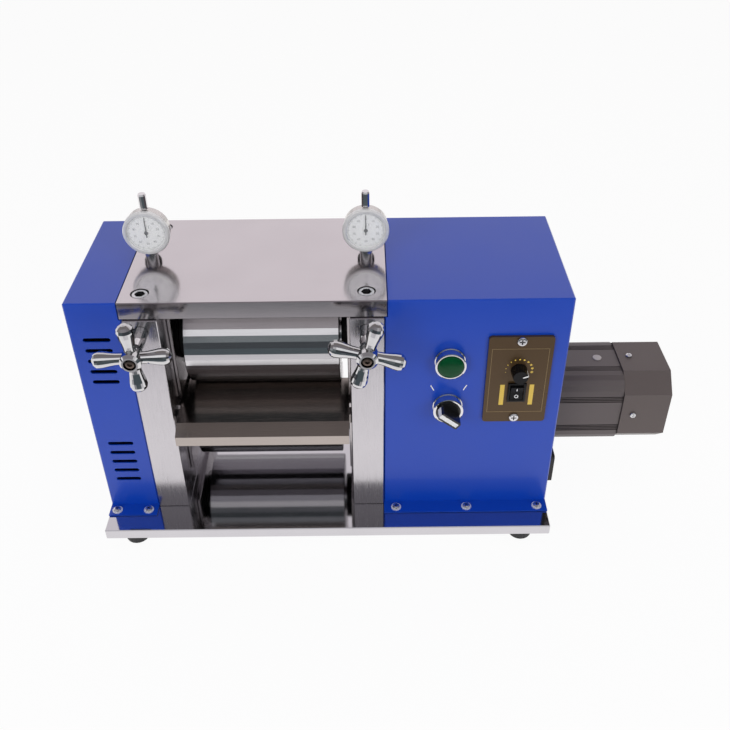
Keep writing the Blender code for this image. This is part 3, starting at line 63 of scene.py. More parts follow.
BUMP_DEPTH = 0.0002
COAT_ROUGHNESS = 0.12
CLOUD_SPREAD = (0.3, 0.7)
METAL_CLOUD_SCALE = 18
GLASS_COLOURS = ((0.80, 0.82, 0.83, 1), (0.92, 0.94, 0.95, 1))
GLASS_CLOUD_SCALE = 60
GLASS_ALPHA = 0.13
GLASS_ROUGHNESS = (0.03, 0.08)
SEAL_COLOUR = (0.008, 0.008, 0.009)
# The bearing ring's steel colour, darkened as painted shade
BEARING_SHADED_COLOUR = (0.13, 0.12, 0.12)
BEARING_CHANGE = 0.1
BEARING_BUMP = 0.05
SEAL_RADIUS = 0.0262
SEAL_ROUGHNESS = 0.6
BEARING_ROUGHNESS = 0.28
MOTOR_COLOUR = (0.118, 0.100, 0.100)
# Near-black painted shade for the floors of the motor's rib grooves
GROOVE_SHADE_COLOURS = ((0.008, 0.007, 0.007, 1), (0.012, 0.01, 0.01, 1))
GROOVE_DEPTH = 0.0009
MOTOR_CORNER_START = 0.0235
SMALL_CLOUD_SCALE = 40


def shader_parts(name):
    material = bpy.data.materials.new(name)
    material.use_nodes = True
    nodes = material.node_tree.nodes
    return material, nodes, material.node_tree.links, nodes["Principled BSDF"]


def spread_between(nodes, low, high, inner=(0, 1)):
    """A map range node that turns the inner range into low to high."""
    spread = nodes.new("ShaderNodeMapRange")
    spread.inputs["From Min"].default_value, spread.inputs["From Max"].default_value = inner
    spread.inputs["To Min"].default_value, spread.inputs["To Max"].default_value = low, high
    return spread


def arithmetic(nodes, operation, second=None):
    """A math node, with its second value if it is a fixed one."""
    made = nodes.new("ShaderNodeMath")
    made.operation = operation
    if second is not None:
        made.inputs[1].default_value = second
    return made


def colour_blend(nodes, links, factor, first, second):
    """The socket of a colour that goes from the first to the second with the factor."""
    mix = nodes.new("ShaderNodeMix")
    mix.data_type = "RGBA"
    links.new(factor, mix.inputs["Factor"])
    links.new(first, mix.inputs["A"])
    links.new(second, mix.inputs["B"])
    return mix.outputs["Result"]


def vector_step(nodes, operation, second=None):
    """A vector math node, with its second value if it is a fixed one."""
    made = nodes.new("ShaderNodeVectorMath")
    made.operation = operation
    if second is not None:
        made.inputs[1].default_value = second
    return made


def effect_group(name, inputs, outputs):
    """An empty node group with these sockets, and its nodes and links."""
    group = bpy.data.node_groups.new(name, "ShaderNodeTree")
    for socket, kind, value in inputs:
        made = group.interface.new_socket(name=socket, in_out="INPUT", socket_type=kind)
        if value is not None:
            made.default_value = value
    for socket, kind in outputs:
        group.interface.new_socket(name=socket, in_out="OUTPUT", socket_type=kind)
    start = group.nodes.new("NodeGroupInput")
    end = group.nodes.new("NodeGroupOutput")
    return group, group.nodes, group.links, start, end


def make_grain_group():
    """Fine lines along one direction: the stretch sets how much closer the lines lie across it."""
    inputs = [
        ("Stretch", "NodeSocketVector", (1, 1, 1)),
        ("Scale", "NodeSocketFloat", 900.0),
        ("Low", "NodeSocketFloat", 0.25),
        ("High", "NodeSocketFloat", 0.35),
    ]
    group, nodes, links, start, end = effect_group(
        "lined_grain", inputs, [("Roughness", "NodeSocketFloat"), ("Height", "NodeSocketFloat")]
    )
    place = nodes.new("ShaderNodeTexCoord")
    stretch = vector_step(nodes, "MULTIPLY")
    noise = nodes.new("ShaderNodeTexNoise")
    noise.inputs["Detail"].default_value = 3
    spread = spread_between(nodes, 0, 1, CLOUD_SPREAD)
    links.new(place.outputs["Object"], stretch.inputs[0])
    links.new(start.outputs["Stretch"], stretch.inputs[1])
    links.new(stretch.outputs["Vector"], noise.inputs["Vector"])
    links.new(start.outputs["Scale"], noise.inputs["Scale"])
    links.new(noise.outputs["Fac"], spread.inputs["Value"])
    links.new(start.outputs["Low"], spread.inputs["To Min"])
    links.new(start.outputs["High"], spread.inputs["To Max"])
    links.new(spread.outputs["Result"], end.inputs["Roughness"])
    links.new(noise.outputs["Fac"], end.inputs["Height"])
    return group


def make_mottle_group():
    """Soft cloudy change between two colours, for paint, castings, smudged metal and moulded plastic."""
    inputs = [
        ("Scale", "NodeSocketFloat", 30.0),
        ("Dark", "NodeSocketColor", (0.1, 0.1, 0.1, 1)),
        ("Light", "NodeSocketColor", (0.2, 0.2, 0.2, 1)),
        ("Fine Scale", "NodeSocketFloat", 1200.0),
    ]
    outputs = [("Color", "NodeSocketColor"), ("Cloud", "NodeSocketFloat"), ("Fine", "NodeSocketFloat")]
    group, nodes, links, start, end = effect_group("mottle", inputs, outputs)
    place = nodes.new("ShaderNodeTexCoord")
    cloud = nodes.new("ShaderNodeTexNoise")
    cloud.inputs["Detail"].default_value = 4
    fine = nodes.new("ShaderNodeTexNoise")
    fine.inputs["Detail"].default_value = 2
    links.new(place.outputs["Object"], cloud.inputs["Vector"])
    links.new(place.outputs["Object"], fine.inputs["Vector"])
    links.new(start.outputs["Scale"], cloud.inputs["Scale"])
    links.new(start.outputs["Fine Scale"], fine.inputs["Scale"])
    blend = colour_blend(nodes, links, cloud.outputs["Fac"], start.outputs["Dark"], start.outputs["Light"])
    links.new(blend, end.inputs["Color"])
    links.new(cloud.outputs["Fac"], end.inputs["Cloud"])
    links.new(fine.outputs["Fac"], end.inputs["Fine"])
    return group


GRAIN = make_grain_group()
MOTTLE = make_mottle_group()


def tones(colour, share):
    """The colour made darker and lighter by this share."""
    dark = tuple(min(1, part * (1 - share)) for part in colour)
    light = tuple(min(1, part * (1 + share)) for part in colour)
    return (*dark, 1), (*light, 1)


def place_group(nodes, group, **values):
    made = nodes.new("ShaderNodeGroup")
    made.node_tree = group
    for name, value in values.items():
        made.inputs[name.replace("_", " ")].default_value = value
    return made


def add_bump(nodes, links, shader, height, strength):
    bump = nodes.new("ShaderNodeBump")
    bump.inputs["Strength"].default_value = strength
    bump.inputs["Distance"].default_value = BUMP_DEPTH
    links.new(height, bump.inputs["Height"])
    links.new(bump.outputs["Normal"], shader.inputs["Normal"])


def metal(name, colour, low, high, stretch=(1, 1, 1), scale=900, bump=0.05, change=0.05):
    """Metal with a grain along one direction and a little cloudiness in its colour."""
    material, nodes, links, shader = shader_parts(name)
    shader.inputs["Metallic"].default_value = 1
    grain = place_group(nodes, GRAIN, Stretch=stretch, Scale=scale, Low=low, High=high)
    dark, light = tones(colour, change)
    cloud = place_group(nodes, MOTTLE, Scale=METAL_CLOUD_SCALE, Dark=dark, Light=light)
    links.new(grain.outputs["Roughness"], shader.inputs["Roughness"])
    links.new(cloud.outputs["Color"], shader.inputs["Base Color"])
    add_bump(nodes, links, shader, grain.outputs["Height"], bump)
    return material


def coating(
    name, colour, low, high, fine=1500, bump=0.06, change=0.06, metallic=0.0, coat=0.0, scale=14, shine=0.5
):
    """Paint, plastic or rubber: clouded colour, uneven sheen and a fine surface texture."""
    material, nodes, links, shader = shader_parts(name)
    shader.inputs["Metallic"].default_value = metallic
    shader.inputs["Specular IOR Level"].default_value = shine
    shader.inputs["Coat Weight"].default_value = coat
    shader.inputs["Coat Roughness"].default_value = COAT_ROUGHNESS
    dark, light = tones(colour, change)
    cloud = place_group(nodes, MOTTLE, Scale=scale, Dark=dark, Light=light, Fine_Scale=fine)
    sheen = spread_between(nodes, low, high, CLOUD_SPREAD)
    links.new(cloud.outputs["Cloud"], sheen.inputs["Value"])
    links.new(sheen.outputs["Result"], shader.inputs["Roughness"])
    links.new(cloud.outputs["Color"], shader.inputs["Base Color"])
    add_bump(nodes, links, shader, cloud.outputs["Fine"], bump)
    return material


def clear_glass():
    """Thin clear cover: mostly see-through, with a faint film and a polished sheen."""
    material, nodes, links, shader = shader_parts("gauge_glass")
    shader.inputs["Metallic"].default_value = 0
    shader.inputs["Transmission Weight"].default_value = 0
    shader.inputs["Alpha"].default_value = GLASS_ALPHA
    dark, light = GLASS_COLOURS
    cloud = place_group(nodes, MOTTLE, Scale=GLASS_CLOUD_SCALE, Dark=dark, Light=light)
    sheen = spread_between(nodes, *GLASS_ROUGHNESS)
    links.new(cloud.outputs["Cloud"], sheen.inputs["Value"])
    links.new(sheen.outputs["Result"], shader.inputs["Roughness"])
    links.new(cloud.outputs["Color"], shader.inputs["Base Color"])
    return material


PAINT = {
    "top_steel": metal("top_steel", (0.66, 0.62, 0.64), 0.10, 0.17, (0.04, 1, 1), 1600, 0.02),
    "column_steel": metal("column_steel", (0.62, 0.60, 0.63), 0.16, 0.28, (1, 1, 0.04), 1600, 0.04),
    "block_steel": metal("block_steel", (0.56, 0.53, 0.54), 0.14, 0.26, (1, 1, 0.05), 1400, 0.04),
    "base_steel": metal("base_steel", (0.64, 0.63, 0.66), 0.05, 0.10, (0.05, 1, 1), 1500, 0.02),
    "tray_steel": metal("tray_steel", (0.48, 0.43, 0.40), 0.15, 0.26, (0.04, 1, 1), 1400, 0.03),
    "bar_steel": metal("bar_steel", (0.30, 0.275, 0.265), 0.24, 0.36, (0.05, 1, 1), 1400, 0.04),
    "roll_chrome": metal("roll_chrome", (0.74, 0.73, 0.75), 0.15, 0.20, (0.03, 1, 1), 1400, 0.012, 0.02),
    "bright_chrome": metal("bright_chrome", (0.80, 0.79, 0.80), 0.03, 0.07, (1, 1, 1), 500, 0.01, 0.02),
    "handle_chrome": metal("handle_chrome", (0.66, 0.66, 0.67), 0.03, 0.07, (1, 1, 1), 500, 0.01, 0.02),
    "black_screw": metal("black_screw", (0.10, 0.095, 0.09), 0.30, 0.42, (1, 1, 1), 900, 0.06),
    "bronze_screw": metal("bronze_screw", (0.20, 0.155, 0.13), 0.28, 0.40, (1, 1, 1), 900, 0.06),
    "bright_screw": metal("bright_screw", (0.76, 0.76, 0.78), 0.16, 0.28, (1, 1, 1), 900, 0.04),
    "pale_washer": coating("pale_washer", (0.80, 0.80, 0.83), 0.28, 0.40, 1500, 0.03, 0.04, 0.35),
    "dark_steel": metal("dark_steel", (0.22, 0.215, 0.22), 0.26, 0.42, (1, 1, 1), 700, 0.06, 0.12),
    "gear_steel": metal("gear_steel", (0.34, 0.32, 0.30), 0.24, 0.40, (0.06, 1, 1), 900, 0.06, 0.10),
    "gauge_metal": metal("gauge_metal", (0.72, 0.70, 0.68), 0.20, 0.32, (1, 0.05, 1), 1500, 0.04),
    "bezel_metal": coating("bezel_metal", (0.84, 0.84, 0.84), 0.26, 0.38, 1500, 0.03, 0.04, 0.35),
    "blue_coat": coating("blue_coat", (0.003, 0.052, 0.44), 0.28, 0.36, 900, 0.02, 0.04, 0.0, 0.22),
    "motor_coat": coating("motor_coat", MOTOR_COLOUR, 0.34, 0.46, 1800, 0.10, 0.06, 0.25),
    "cover_coat": coating("cover_coat", (0.117, 0.096, 0.092), 0.36, 0.48, 1800, 0.08, 0.05, 0.25),
    "panel_brown": coating("panel_brown", (0.085, 0.050, 0.021), 0.26, 0.36, 1800, 0.03, 0.06, 0.35),
    "panel_yellow": coating("panel_yellow", (0.72, 0.50, 0.085), 0.35, 0.45, 1600, 0.03, 0.05),
    "panel_gold": coating("panel_gold", (0.28, 0.20, 0.10), 0.30, 0.42, 1600, 0.03, 0.06, 0.5),
    "white_ink": coating("white_ink", (0.80, 0.80, 0.80), 0.42, 0.52, 1600, 0.03, 0.03),
    "dial_ink": coating("dial_ink", (0.20, 0.20, 0.21), 0.45, 0.55, 1600, 0.03, 0.05),
    "black_ink": coating("black_ink", (0.018, 0.018, 0.02), 0.45, 0.55, 1600, 0.03, 0.05),
    "dial_white": coating("dial_white", (0.95, 0.95, 0.94), 0.48, 0.58, 1600, 0.03, 0.02),
    "black_gloss": coating("black_gloss", (0.010, 0.010, 0.011), 0.16, 0.26, 1400, 0.03, 0.10, 0.0, 0.3),
    "knob_black": coating("knob_black", (0.005, 0.005, 0.006), 0.22, 0.32, 1400, 0.03, 0.1, 0, 0, 14, 0.25),
    "black_moulded": coating("black_moulded", (0.014, 0.014, 0.015), 0.38, 0.52, 2200, 0.10, 0.12),
    # Near-black painted shade, for the pieces in screw crosses and sockets
    "shade_black": coating("shade_black", (0.008, 0.008, 0.009), 0.55, 0.70, 1800, 0.08, 0.15),
    "foot_rubber": coating("foot_rubber", (0.020, 0.020, 0.022), 0.65, 0.82, 1500, 0.15, 0.15),
    "lamp_green": coating("lamp_green", (0.0, 0.055, 0.016), 0.16, 0.24, 900, 0.02, 0.3, 0.0, 0.0, 260, 0.25),
    "plug_grey": coating("plug_grey", (0.48, 0.44, 0.43), 0.45, 0.58, 1600, 0.06, 0.06),
    "plate_silver": coating("plate_silver", (0.30, 0.27, 0.32), 0.30, 0.42, 1600, 0.03, 0.10, 0.6),
    "gauge_glass": clear_glass(),
}


def sealed_bearing(name, centre):
    """The black seal near the roll's axis, and the bearing's steel ring outside it, darkened as painted shade
    of the gap beside the roll's end.
    """
    material, nodes, links, shader = shader_parts(name)
    place = nodes.new("ShaderNodeTexCoord")
    middle = vector_step(nodes, "SUBTRACT", centre)
    flat = vector_step(nodes, "MULTIPLY", (0, 1, 1))
    length = vector_step(nodes, "LENGTH")
    outside = arithmetic(nodes, "GREATER_THAN", SEAL_RADIUS)
    links.new(place.outputs["Object"], middle.inputs[0])
    links.new(middle.outputs["Vector"], flat.inputs[0])
    links.new(flat.outputs["Vector"], length.inputs[0])
    links.new(length.outputs["Value"], outside.inputs[0])
    seal_dark, seal_light = tones(SEAL_COLOUR, BEARING_CHANGE)
    # The ring's colour, darkened as painted shade
    ring_dark, ring_light = tones(BEARING_SHADED_COLOUR, BEARING_CHANGE)
    seal = place_group(nodes, MOTTLE, Scale=SMALL_CLOUD_SCALE, Dark=seal_dark, Light=seal_light)
    ring = place_group(nodes, MOTTLE, Scale=SMALL_CLOUD_SCALE, Dark=ring_dark, Light=ring_light)
    blend = colour_blend(nodes, links, outside.outputs["Value"], seal.outputs["Color"], ring.outputs["Color"])
    links.new(blend, shader.inputs["Base Color"])
    links.new(outside.outputs["Value"], shader.inputs["Metallic"])
    sheen = spread_between(nodes, SEAL_ROUGHNESS, BEARING_ROUGHNESS)
    links.new(outside.outputs["Value"], sheen.inputs["Value"])
    links.new(sheen.outputs["Result"], shader.inputs["Roughness"])
    add_bump(nodes, links, shader, seal.outputs["Fine"], BEARING_BUMP)
    return material


def ribbed_coat_painted_shade():
    """The motor's coat, with painted shade near black on the floors of the grooves between its ribs."""
    low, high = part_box("motor_body")
    centre = (low + high) / 2
    material = coating("ribbed_coat_painted_shade", MOTOR_COLOUR, 0.34, 0.46, 1800, 0.10, 0.06, 0.25)
    nodes, links = material.node_tree.nodes, material.node_tree.links
    shader = nodes["Principled BSDF"]
    coat = shader.inputs["Base Color"].links[0].from_socket
    place = nodes.new("ShaderNodeTexCoord")
    middle = vector_step(nodes, "SUBTRACT", centre)
    sizes = vector_step(nodes, "ABSOLUTE")
    parts = nodes.new("ShaderNodeSeparateXYZ")
    links.new(place.outputs["Object"], middle.inputs[0])
    links.new(middle.outputs["Vector"], sizes.inputs[0])
    links.new(sizes.outputs["Vector"], parts.inputs["Vector"])
    groove = arithmetic(nodes, "MULTIPLY")
    rib_floor = high.z - centre.z - GROOVE_DEPTH
    for number, (choice, limit) in enumerate((("MAXIMUM", rib_floor), ("MINIMUM", MOTOR_CORNER_START))):
        chosen = arithmetic(nodes, choice)
        test = arithmetic(nodes, "LESS_THAN", limit)
        links.new(parts.outputs["Y"], chosen.inputs[0])
        links.new(parts.outputs["Z"], chosen.inputs[1])
        links.new(chosen.outputs["Value"], test.inputs[0])
        links.new(test.outputs["Value"], groove.inputs[number])
    # Painted shade: the groove floors go near black
    dark, light = GROOVE_SHADE_COLOURS
    groove_shade = place_group(nodes, MOTTLE, Scale=SMALL_CLOUD_SCALE, Dark=dark, Light=light)
    blend = colour_blend(nodes, links, groove.outputs["Value"], coat, groove_shade.outputs["Color"])
    links.new(blend, shader.inputs["Base Color"])
    return material


FINISHES = {
    "base_steel": ("base_plate",),
    "top_steel": ("top_plate",),
    "blue_coat": ("gear_housing", "drive_housing"),
    "tray_steel": ("feed_tray",),
    "bar_steel": ("tray_bar",),
    "roll_chrome": ("upper_roll", "lower_roll"),
    "gear_steel": ("upper_gear", "lower_gear"),
    "dark_steel": ("shaft_coupling", "motor_bracket"),
    "motor_coat": ("gearbox",),
    "ribbed_coat_painted_shade": ("motor_body",),
    "cover_coat": ("fan_cover",),
    "black_moulded": ("motor_fan", "power_inlet"),
    "bright_chrome": ("lamp_bezel", "selector_bezel"),
    "lamp_green": ("lamp_lens",),
    "black_gloss": ("selector_knob",),
    "panel_brown": ("speed_controller",),
    "knob_black": ("speed_knob", "power_rocker"),
}
SIDE_FINISHES = {
    "column_steel": ("side_frame",),
    "foot_rubber": ("foot_front", "foot_rear"),
    "bright_screw": ("top_screw_front", "top_screw_rear"),
    "dark_steel": ("lift_spring", "wedge", "adjusting_screw"),
    "bright_chrome": ("screw_sleeve", "dial_plunger"),
    "handle_chrome": ("cross_handle",),
    "gauge_metal": ("dial_case",),
    "bezel_metal": ("dial_bezel",),
    "black_ink": ("dial_needle",),
    "block_steel": ("bearing_block_upper", "bearing_block_lower"),
}


def dress(name, finish):
    """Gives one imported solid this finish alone."""
    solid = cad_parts[name]
    solid.data.materials.clear()
    solid.data.materials.append(PAINT[finish])


def dress_solids():
    """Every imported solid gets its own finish."""
    PAINT["ribbed_coat_painted_shade"] = ribbed_coat_painted_shade()
    for level in ("upper", "lower"):
        roll_low, roll_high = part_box(f"{level}_roll")
        PAINT[f"bearing_{level}"] = sealed_bearing(f"bearing_{level}", (roll_low + roll_high) / 2)
    for finish, solids in FINISHES.items():
        for name in solids:
            dress(name, finish)
    for side in ("left", "right"):
        for finish, solids in SIDE_FINISHES.items():
            for name in solids:
                dress(f"{name}_{side}", finish)
        for level in ("upper", "lower"):
            dress(f"bearing_{level}_{side}", f"bearing_{level}")


# Modelling helpers

CLOSE = 1e-5
TURNS = {"X": (0, pi / 2, 0), "Y": (pi / 2, 0, 0), "Z": (0, 0, 0)}


def bar(name, radius, depth, centre, axis="Y", sides=48):
    """A round bar at its place. Along Y its own +Z end faces the operator."""
    bpy.ops.object.select_all(action="DESELECT")
    bpy.ops.mesh.primitive_cylinder_add(
        vertices=sides, radius=radius, depth=depth, location=centre, rotation=TURNS[axis]
    )
    piece = bpy.context.object
    piece.name = name
    return piece


def block(name, size, centre, turn=(0, 0, 0)):
    """A block at its place, its size already in the mesh."""
    bpy.ops.object.select_all(action="DESELECT")
    bpy.ops.mesh.primitive_cube_add(size=1, location=centre, rotation=turn)
    piece = bpy.context.object
    piece.name = name
    piece.scale = size
    bpy.ops.object.transform_apply(location=False, rotation=False, scale=True)
    return piece


def shape(piece):
    """Edit mode with faces as what is selected."""
    bpy.context.view_layer.objects.active = piece
    bpy.ops.object.mode_set(mode="EDIT")
    bpy.ops.mesh.select_mode(type="FACE")
    bpy.ops.mesh.select_all(action="DESELECT")


def pick(piece, wanted, kind="FACE"):
    """Selects the faces or edges that the test takes, from their place and direction in the piece."""
    bpy.ops.mesh.select_mode(type=kind)
    bpy.ops.mesh.select_all(action="DESELECT")
    mesh = bmesh.from_edit_mesh(piece.data)
    mesh.select_mode = {kind}
    if kind == "FACE":
        for face in mesh.faces:
            if wanted(face.calc_center_median(), face.normal):
                face.select_set(True)
    else:
        for edge in mesh.edges:
            ends = [vert.co for vert in edge.verts]
            if wanted((ends[0] + ends[1]) / 2, (ends[1] - ends[0]).normalized()):
                edge.select_set(True)
    mesh.select_flush_mode()
    bmesh.update_edit_mesh(piece.data)


def front_cap(piece, height):
    """Selects the end of a bar at this height in its own frame."""
    pick(piece, lambda place, normal: normal.z > 0.9 and abs(place.z - height) < CLOSE)


def rim_edges(piece, height, radius):
    """Selects the edges round a bar at this height in its own frame."""
    def wanted(place, way):
        return abs(place.z - height) < CLOSE and abs(place.xy.length - radius) < radius * 0.03
    pick(piece, wanted, "EDGE")


def step_front(piece, height, width, depth):
    """Insets the end of a bar by this width, and raises or sinks what is inside."""
    shape(piece)
    front_cap(piece, height)
    bpy.ops.mesh.inset(thickness=width, depth=depth)
    bpy.ops.object.mode_set(mode="OBJECT")


def round_rim(piece, height, radius, width):
    """Rounds the edge round the end of a bar."""
    shape(piece)
    rim_edges(piece, height, radius)
    bpy.ops.mesh.bevel(offset=width, segments=2, affect="EDGES")
    bpy.ops.object.mode_set(mode="OBJECT")


def soften(piece, width, segments=2, angle=40):
    """A bevel modifier on the sharp edges, applied."""
    bpy.context.view_layer.objects.active = piece
    made = piece.modifiers.new("soft_edges", "BEVEL")
    made.width = width
    made.segments = segments
    made.limit_method = "ANGLE"
    made.angle_limit = radians(angle)
    bpy.ops.object.modifier_apply(modifier=made.name)


def settle(piece, body, finish, smooth=35):
    """Puts the place in the mesh, smooths and paints the piece, and lets it ride on its body."""
    if bpy.context.object and bpy.context.object.mode != "OBJECT":
        bpy.ops.object.mode_set(mode="OBJECT")
    bpy.ops.object.select_all(action="DESELECT")
    piece.select_set(True)
    bpy.context.view_layer.objects.active = piece
    bpy.ops.object.transform_apply(location=True, rotation=True, scale=True)
    bpy.ops.object.shade_smooth_by_angle(angle=radians(smooth))
    piece.data.materials.clear()
    piece.data.materials.append(PAINT[finish])
    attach(piece, body)
    return piece


def again(piece, name, shift, turn=None, about=None):
    """A copy with its own mesh, moved and if asked first turned about a point."""
    copy = piece.copy()
    copy.data = piece.data.copy()
    copy.name = name
    bpy.context.scene.collection.objects.link(copy)
    if turn:
        pivot = Matrix.Translation(about)
        copy.data.transform(pivot @ turn @ pivot.inverted())
    copy.data.transform(Matrix.Translation(shift))
    return copy


def ride_again(copy, body):
    """Lets a copy ride on a body by itself, free of what its pattern rode on."""
    copy.parent = None
    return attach(copy, body)


def merge(pieces, name):
    """Joins several pieces into the first, under this name."""
    bpy.ops.object.select_all(action="DESELECT")
    for piece in pieces:
        piece.select_set(True)
    bpy.context.view_layer.objects.active = pieces[0]
    bpy.ops.object.join()
    pieces[0].name = name
    return pieces[0]


# Fasteners. Shares are of a screw head's radius or height

HEAD_ROUND_SHARE = 0.55
HEAD_RIM_SHARE = 0.12
SLOT_LONG_SHARE = 1.15
SLOT_WIDE_SHARE = 0.24
SLOT_DEEP_SHARE = 0.7
# The cross's arm sizes, place and soft edge are for the dark painted shade piece in its floor
CROSS_ARM_SHARES = ((1.12, 0.22, 0.06), (0.22, 1.12, 0.05))
CROSS_PLACE_SHARE = 0.2
CROSS_SOFT_SHARE = 0.012

FLANGE_TOP = 0.0018
FLANGE_SCREWS_ACROSS = {"gear": (0.0080, 0.0418), "drive": (0.3082, 0.3837, 0.4593)}
FLANGE_SCREWS_BACK = {"front": -0.0088, "rear": 0.1728}
FLANGE_SCREW = (0.0037, 0.0024)
SCREW_TURN_START = 11
SCREW_TURN_STEP = 23
WASHER_RADIUS = 0.0054
WASHER_THICK = 0.0008
WASHER_EDGE = 0.0005
WASHER_RISE = 0.0001


def pan_screw(name, centre, radius, height, axis, finish, body="press"):
    """A pan-head screw with a cross in its face, standing out along the bar's own +Z."""
    piece = bar(name, radius, height, centre, axis, 24)
    top = height / 2
    shape(piece)
    rim_edges(piece, top, radius)
    bpy.ops.mesh.bevel(offset=height * HEAD_ROUND_SHARE, segments=3, affect="EDGES")
    front_cap(piece, top)
    bpy.ops.mesh.inset(thickness=radius * HEAD_RIM_SHARE, depth=0)
    bpy.ops.object.mode_set(mode="OBJECT")
    long, wide, deep = radius * SLOT_LONG_SHARE, radius * SLOT_WIDE_SHARE, height * SLOT_DEEP_SHARE
    for slot_size in ((long, wide, deep), (wide, long, deep)):
        cutter = block("screw_slot", slot_size, centre, TURNS[axis])
        cutter.matrix_world = piece.matrix_world @ Matrix.Translation((0, 0, top))
        cut_out(piece, cutter)
    return settle(piece, body, finish, 30)


def screw_cross_shade(name, centre, radius, height, axis):
    """Painted shade: a dark piece at the floor of a pan screw's cross."""
    arms = []
    for across, along, thick in CROSS_ARM_SHARES:
        arm = block(name, (radius * across, radius * along, height * thick), centre, TURNS[axis])
        arm.matrix_world = arm.matrix_world @ Matrix.Translation((0, 0, height * CROSS_PLACE_SHARE))
        arms.append(arm)
    cross = merge(arms, name)
    soften(cross, height * CROSS_SOFT_SHARE, 1)
    return settle(cross, "press", "shade_black")


def cut_out(piece, cutter):
    """Takes the cutter out of the piece, and removes the cutter."""
    bpy.ops.object.select_all(action="DESELECT")
    bpy.context.view_layer.objects.active = piece
    made = piece.modifiers.new("cut_out", "BOOLEAN")
    made.operation = "DIFFERENCE"
    made.solver = "EXACT"
    made.object = cutter
    bpy.ops.object.modifier_apply(modifier=made.name)
    bpy.data.objects.remove(cutter)


def flange_screws():
    """Pan-head screws with washers that hold the housings' flanges to the base, in front and behind."""
    middle = at(0, 0, 0)
    washer = bar("flange_washer", WASHER_RADIUS, WASHER_THICK, middle, "Z", 32)
    step_front(washer, WASHER_THICK / 2, WASHER_EDGE, WASHER_RISE)
    settle(washer, "press", "pale_washer")
    screw = pan_screw("flange_screw", middle, *FLANGE_SCREW, "Z", "bright_screw")
    # A dark painted shade piece in each screw's cross
    cross = screw_cross_shade("flange_cross_shade", middle, *FLANGE_SCREW, "Z")
    washer_up = FLANGE_TOP + WASHER_THICK / 2
    screw_up = FLANGE_TOP + WASHER_THICK + FLANGE_SCREW[1] / 2
    for housing, places in FLANGE_SCREWS_ACROSS.items():
        for number, x in enumerate(places, 1):
            for end, y in FLANGE_SCREWS_BACK.items():
                spin = Matrix.Rotation(radians(SCREW_TURN_STEP * number + SCREW_TURN_START), 4, "Z")
                name = f"{housing}_{end}_{number}"
                ride_again(again(washer, f"flange_washer_{name}", Vector((x, y, washer_up))), "press")
                put = Vector((x, y, screw_up))
                for part in (screw, cross):
                    ride_again(again(part, f"{part.name}_{name}", put, spin, middle), "press")
    for pattern in (washer, screw, cross):
        bpy.data.objects.remove(pattern)


# Cross handles

HANDLE_WASHER_RADIUS = 0.0056
HANDLE_WASHER_THICK = 0.0010
HANDLE_WASHER_REACH = 0.0006
HANDLE_WASHER_EDGE = 0.0006
HANDLE_WASHER_SINK = 0.0002
HANDLE_SCREW_RADIUS = 0.0042
HANDLE_SCREW_HEIGHT = 0.0030
HANDLE_SCREW_REACH = 0.0026
HANDLE_SCREW_ROUND = 0.0006
HEX_RADIUS = 0.0024
HEX_REACH = 0.0041


def handle_caps():
    """The socket screw in each handle's recess, on a dark washer."""
    for side in ("left", "right"):
        low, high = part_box(f"adjusting_screw_{side}")
        centre = Vector(((low.x + high.x) / 2, low.y, (low.z + high.z) / 2))
        body = f"handle_{side}"
        place = centre - Vector((0, HANDLE_WASHER_REACH, 0))
        washer = bar(f"handle_washer_{side}", HANDLE_WASHER_RADIUS, HANDLE_WASHER_THICK, place, "Y", 32)
        step_front(washer, HANDLE_WASHER_THICK / 2, HANDLE_WASHER_EDGE, -HANDLE_WASHER_SINK)
        settle(washer, body, "black_screw")
        place = centre - Vector((0, HANDLE_SCREW_REACH, 0))
        cap = bar(f"handle_screw_{side}", HANDLE_SCREW_RADIUS, HANDLE_SCREW_HEIGHT, place, "Y", 32)
        round_rim(cap, HANDLE_SCREW_HEIGHT / 2, HANDLE_SCREW_RADIUS, HANDLE_SCREW_ROUND)
        place = centre - Vector((0, HEX_REACH, 0))
        socket = bar("hex_socket", HEX_RADIUS, HANDLE_SCREW_HEIGHT, place, "Y", 6)
        cut_out(cap, socket)
        settle(cap, body, "bronze_screw", 30)


# Dial gauges. Their depths are counted back from the bezel's front

DIAL_FACE_RADIUS = 0.0185
DIAL_FACE_BACK = 0.0031
DIAL_FACE_THICK = 0.0001
DIAL_FACE_SINK = 0.00006
DIAL_FACE_RIM = 0.0006

PRINT_THICK = 0.00006
PRINT_LIFT = 0.00014
MARK_RING = 0.0176
LONG_MARK = (0.0021, 0.00028)
SHORT_MARK = (0.0012, 0.00014)
NUMBER_RING = 0.0118
NUMBER_HEIGHT = 0.0031
NUMBER_THICK = 0.00003
NUMBER_LIFT = 0.00016
COUNTER_ACROSS = 0.0030
COUNTER_UP = 0.0052
COUNTER_RING = 0.0030
COUNTER_MARK = (0.0008, 0.00022)
COUNTER_HAND = (0.0004, PRINT_THICK, 0.0028)
COUNTER_HAND_UP = 0.0006

GLASS_RADIUS = 0.0186
GLASS_THICK = 0.0007
GLASS_BACK = 0.0011
GLASS_EDGE = 0.0012
GLASS_RISE = 0.0003

RIM_RADIUS = 0.0225
RIM_LENGTH = 0.0030
RIM_BACK = 0.0030
RIM_WALL = 0.0005
RIM_SIDES = 144
KNURL_EDGE = 0.00006
KNURL_DEPTH = 0.0002

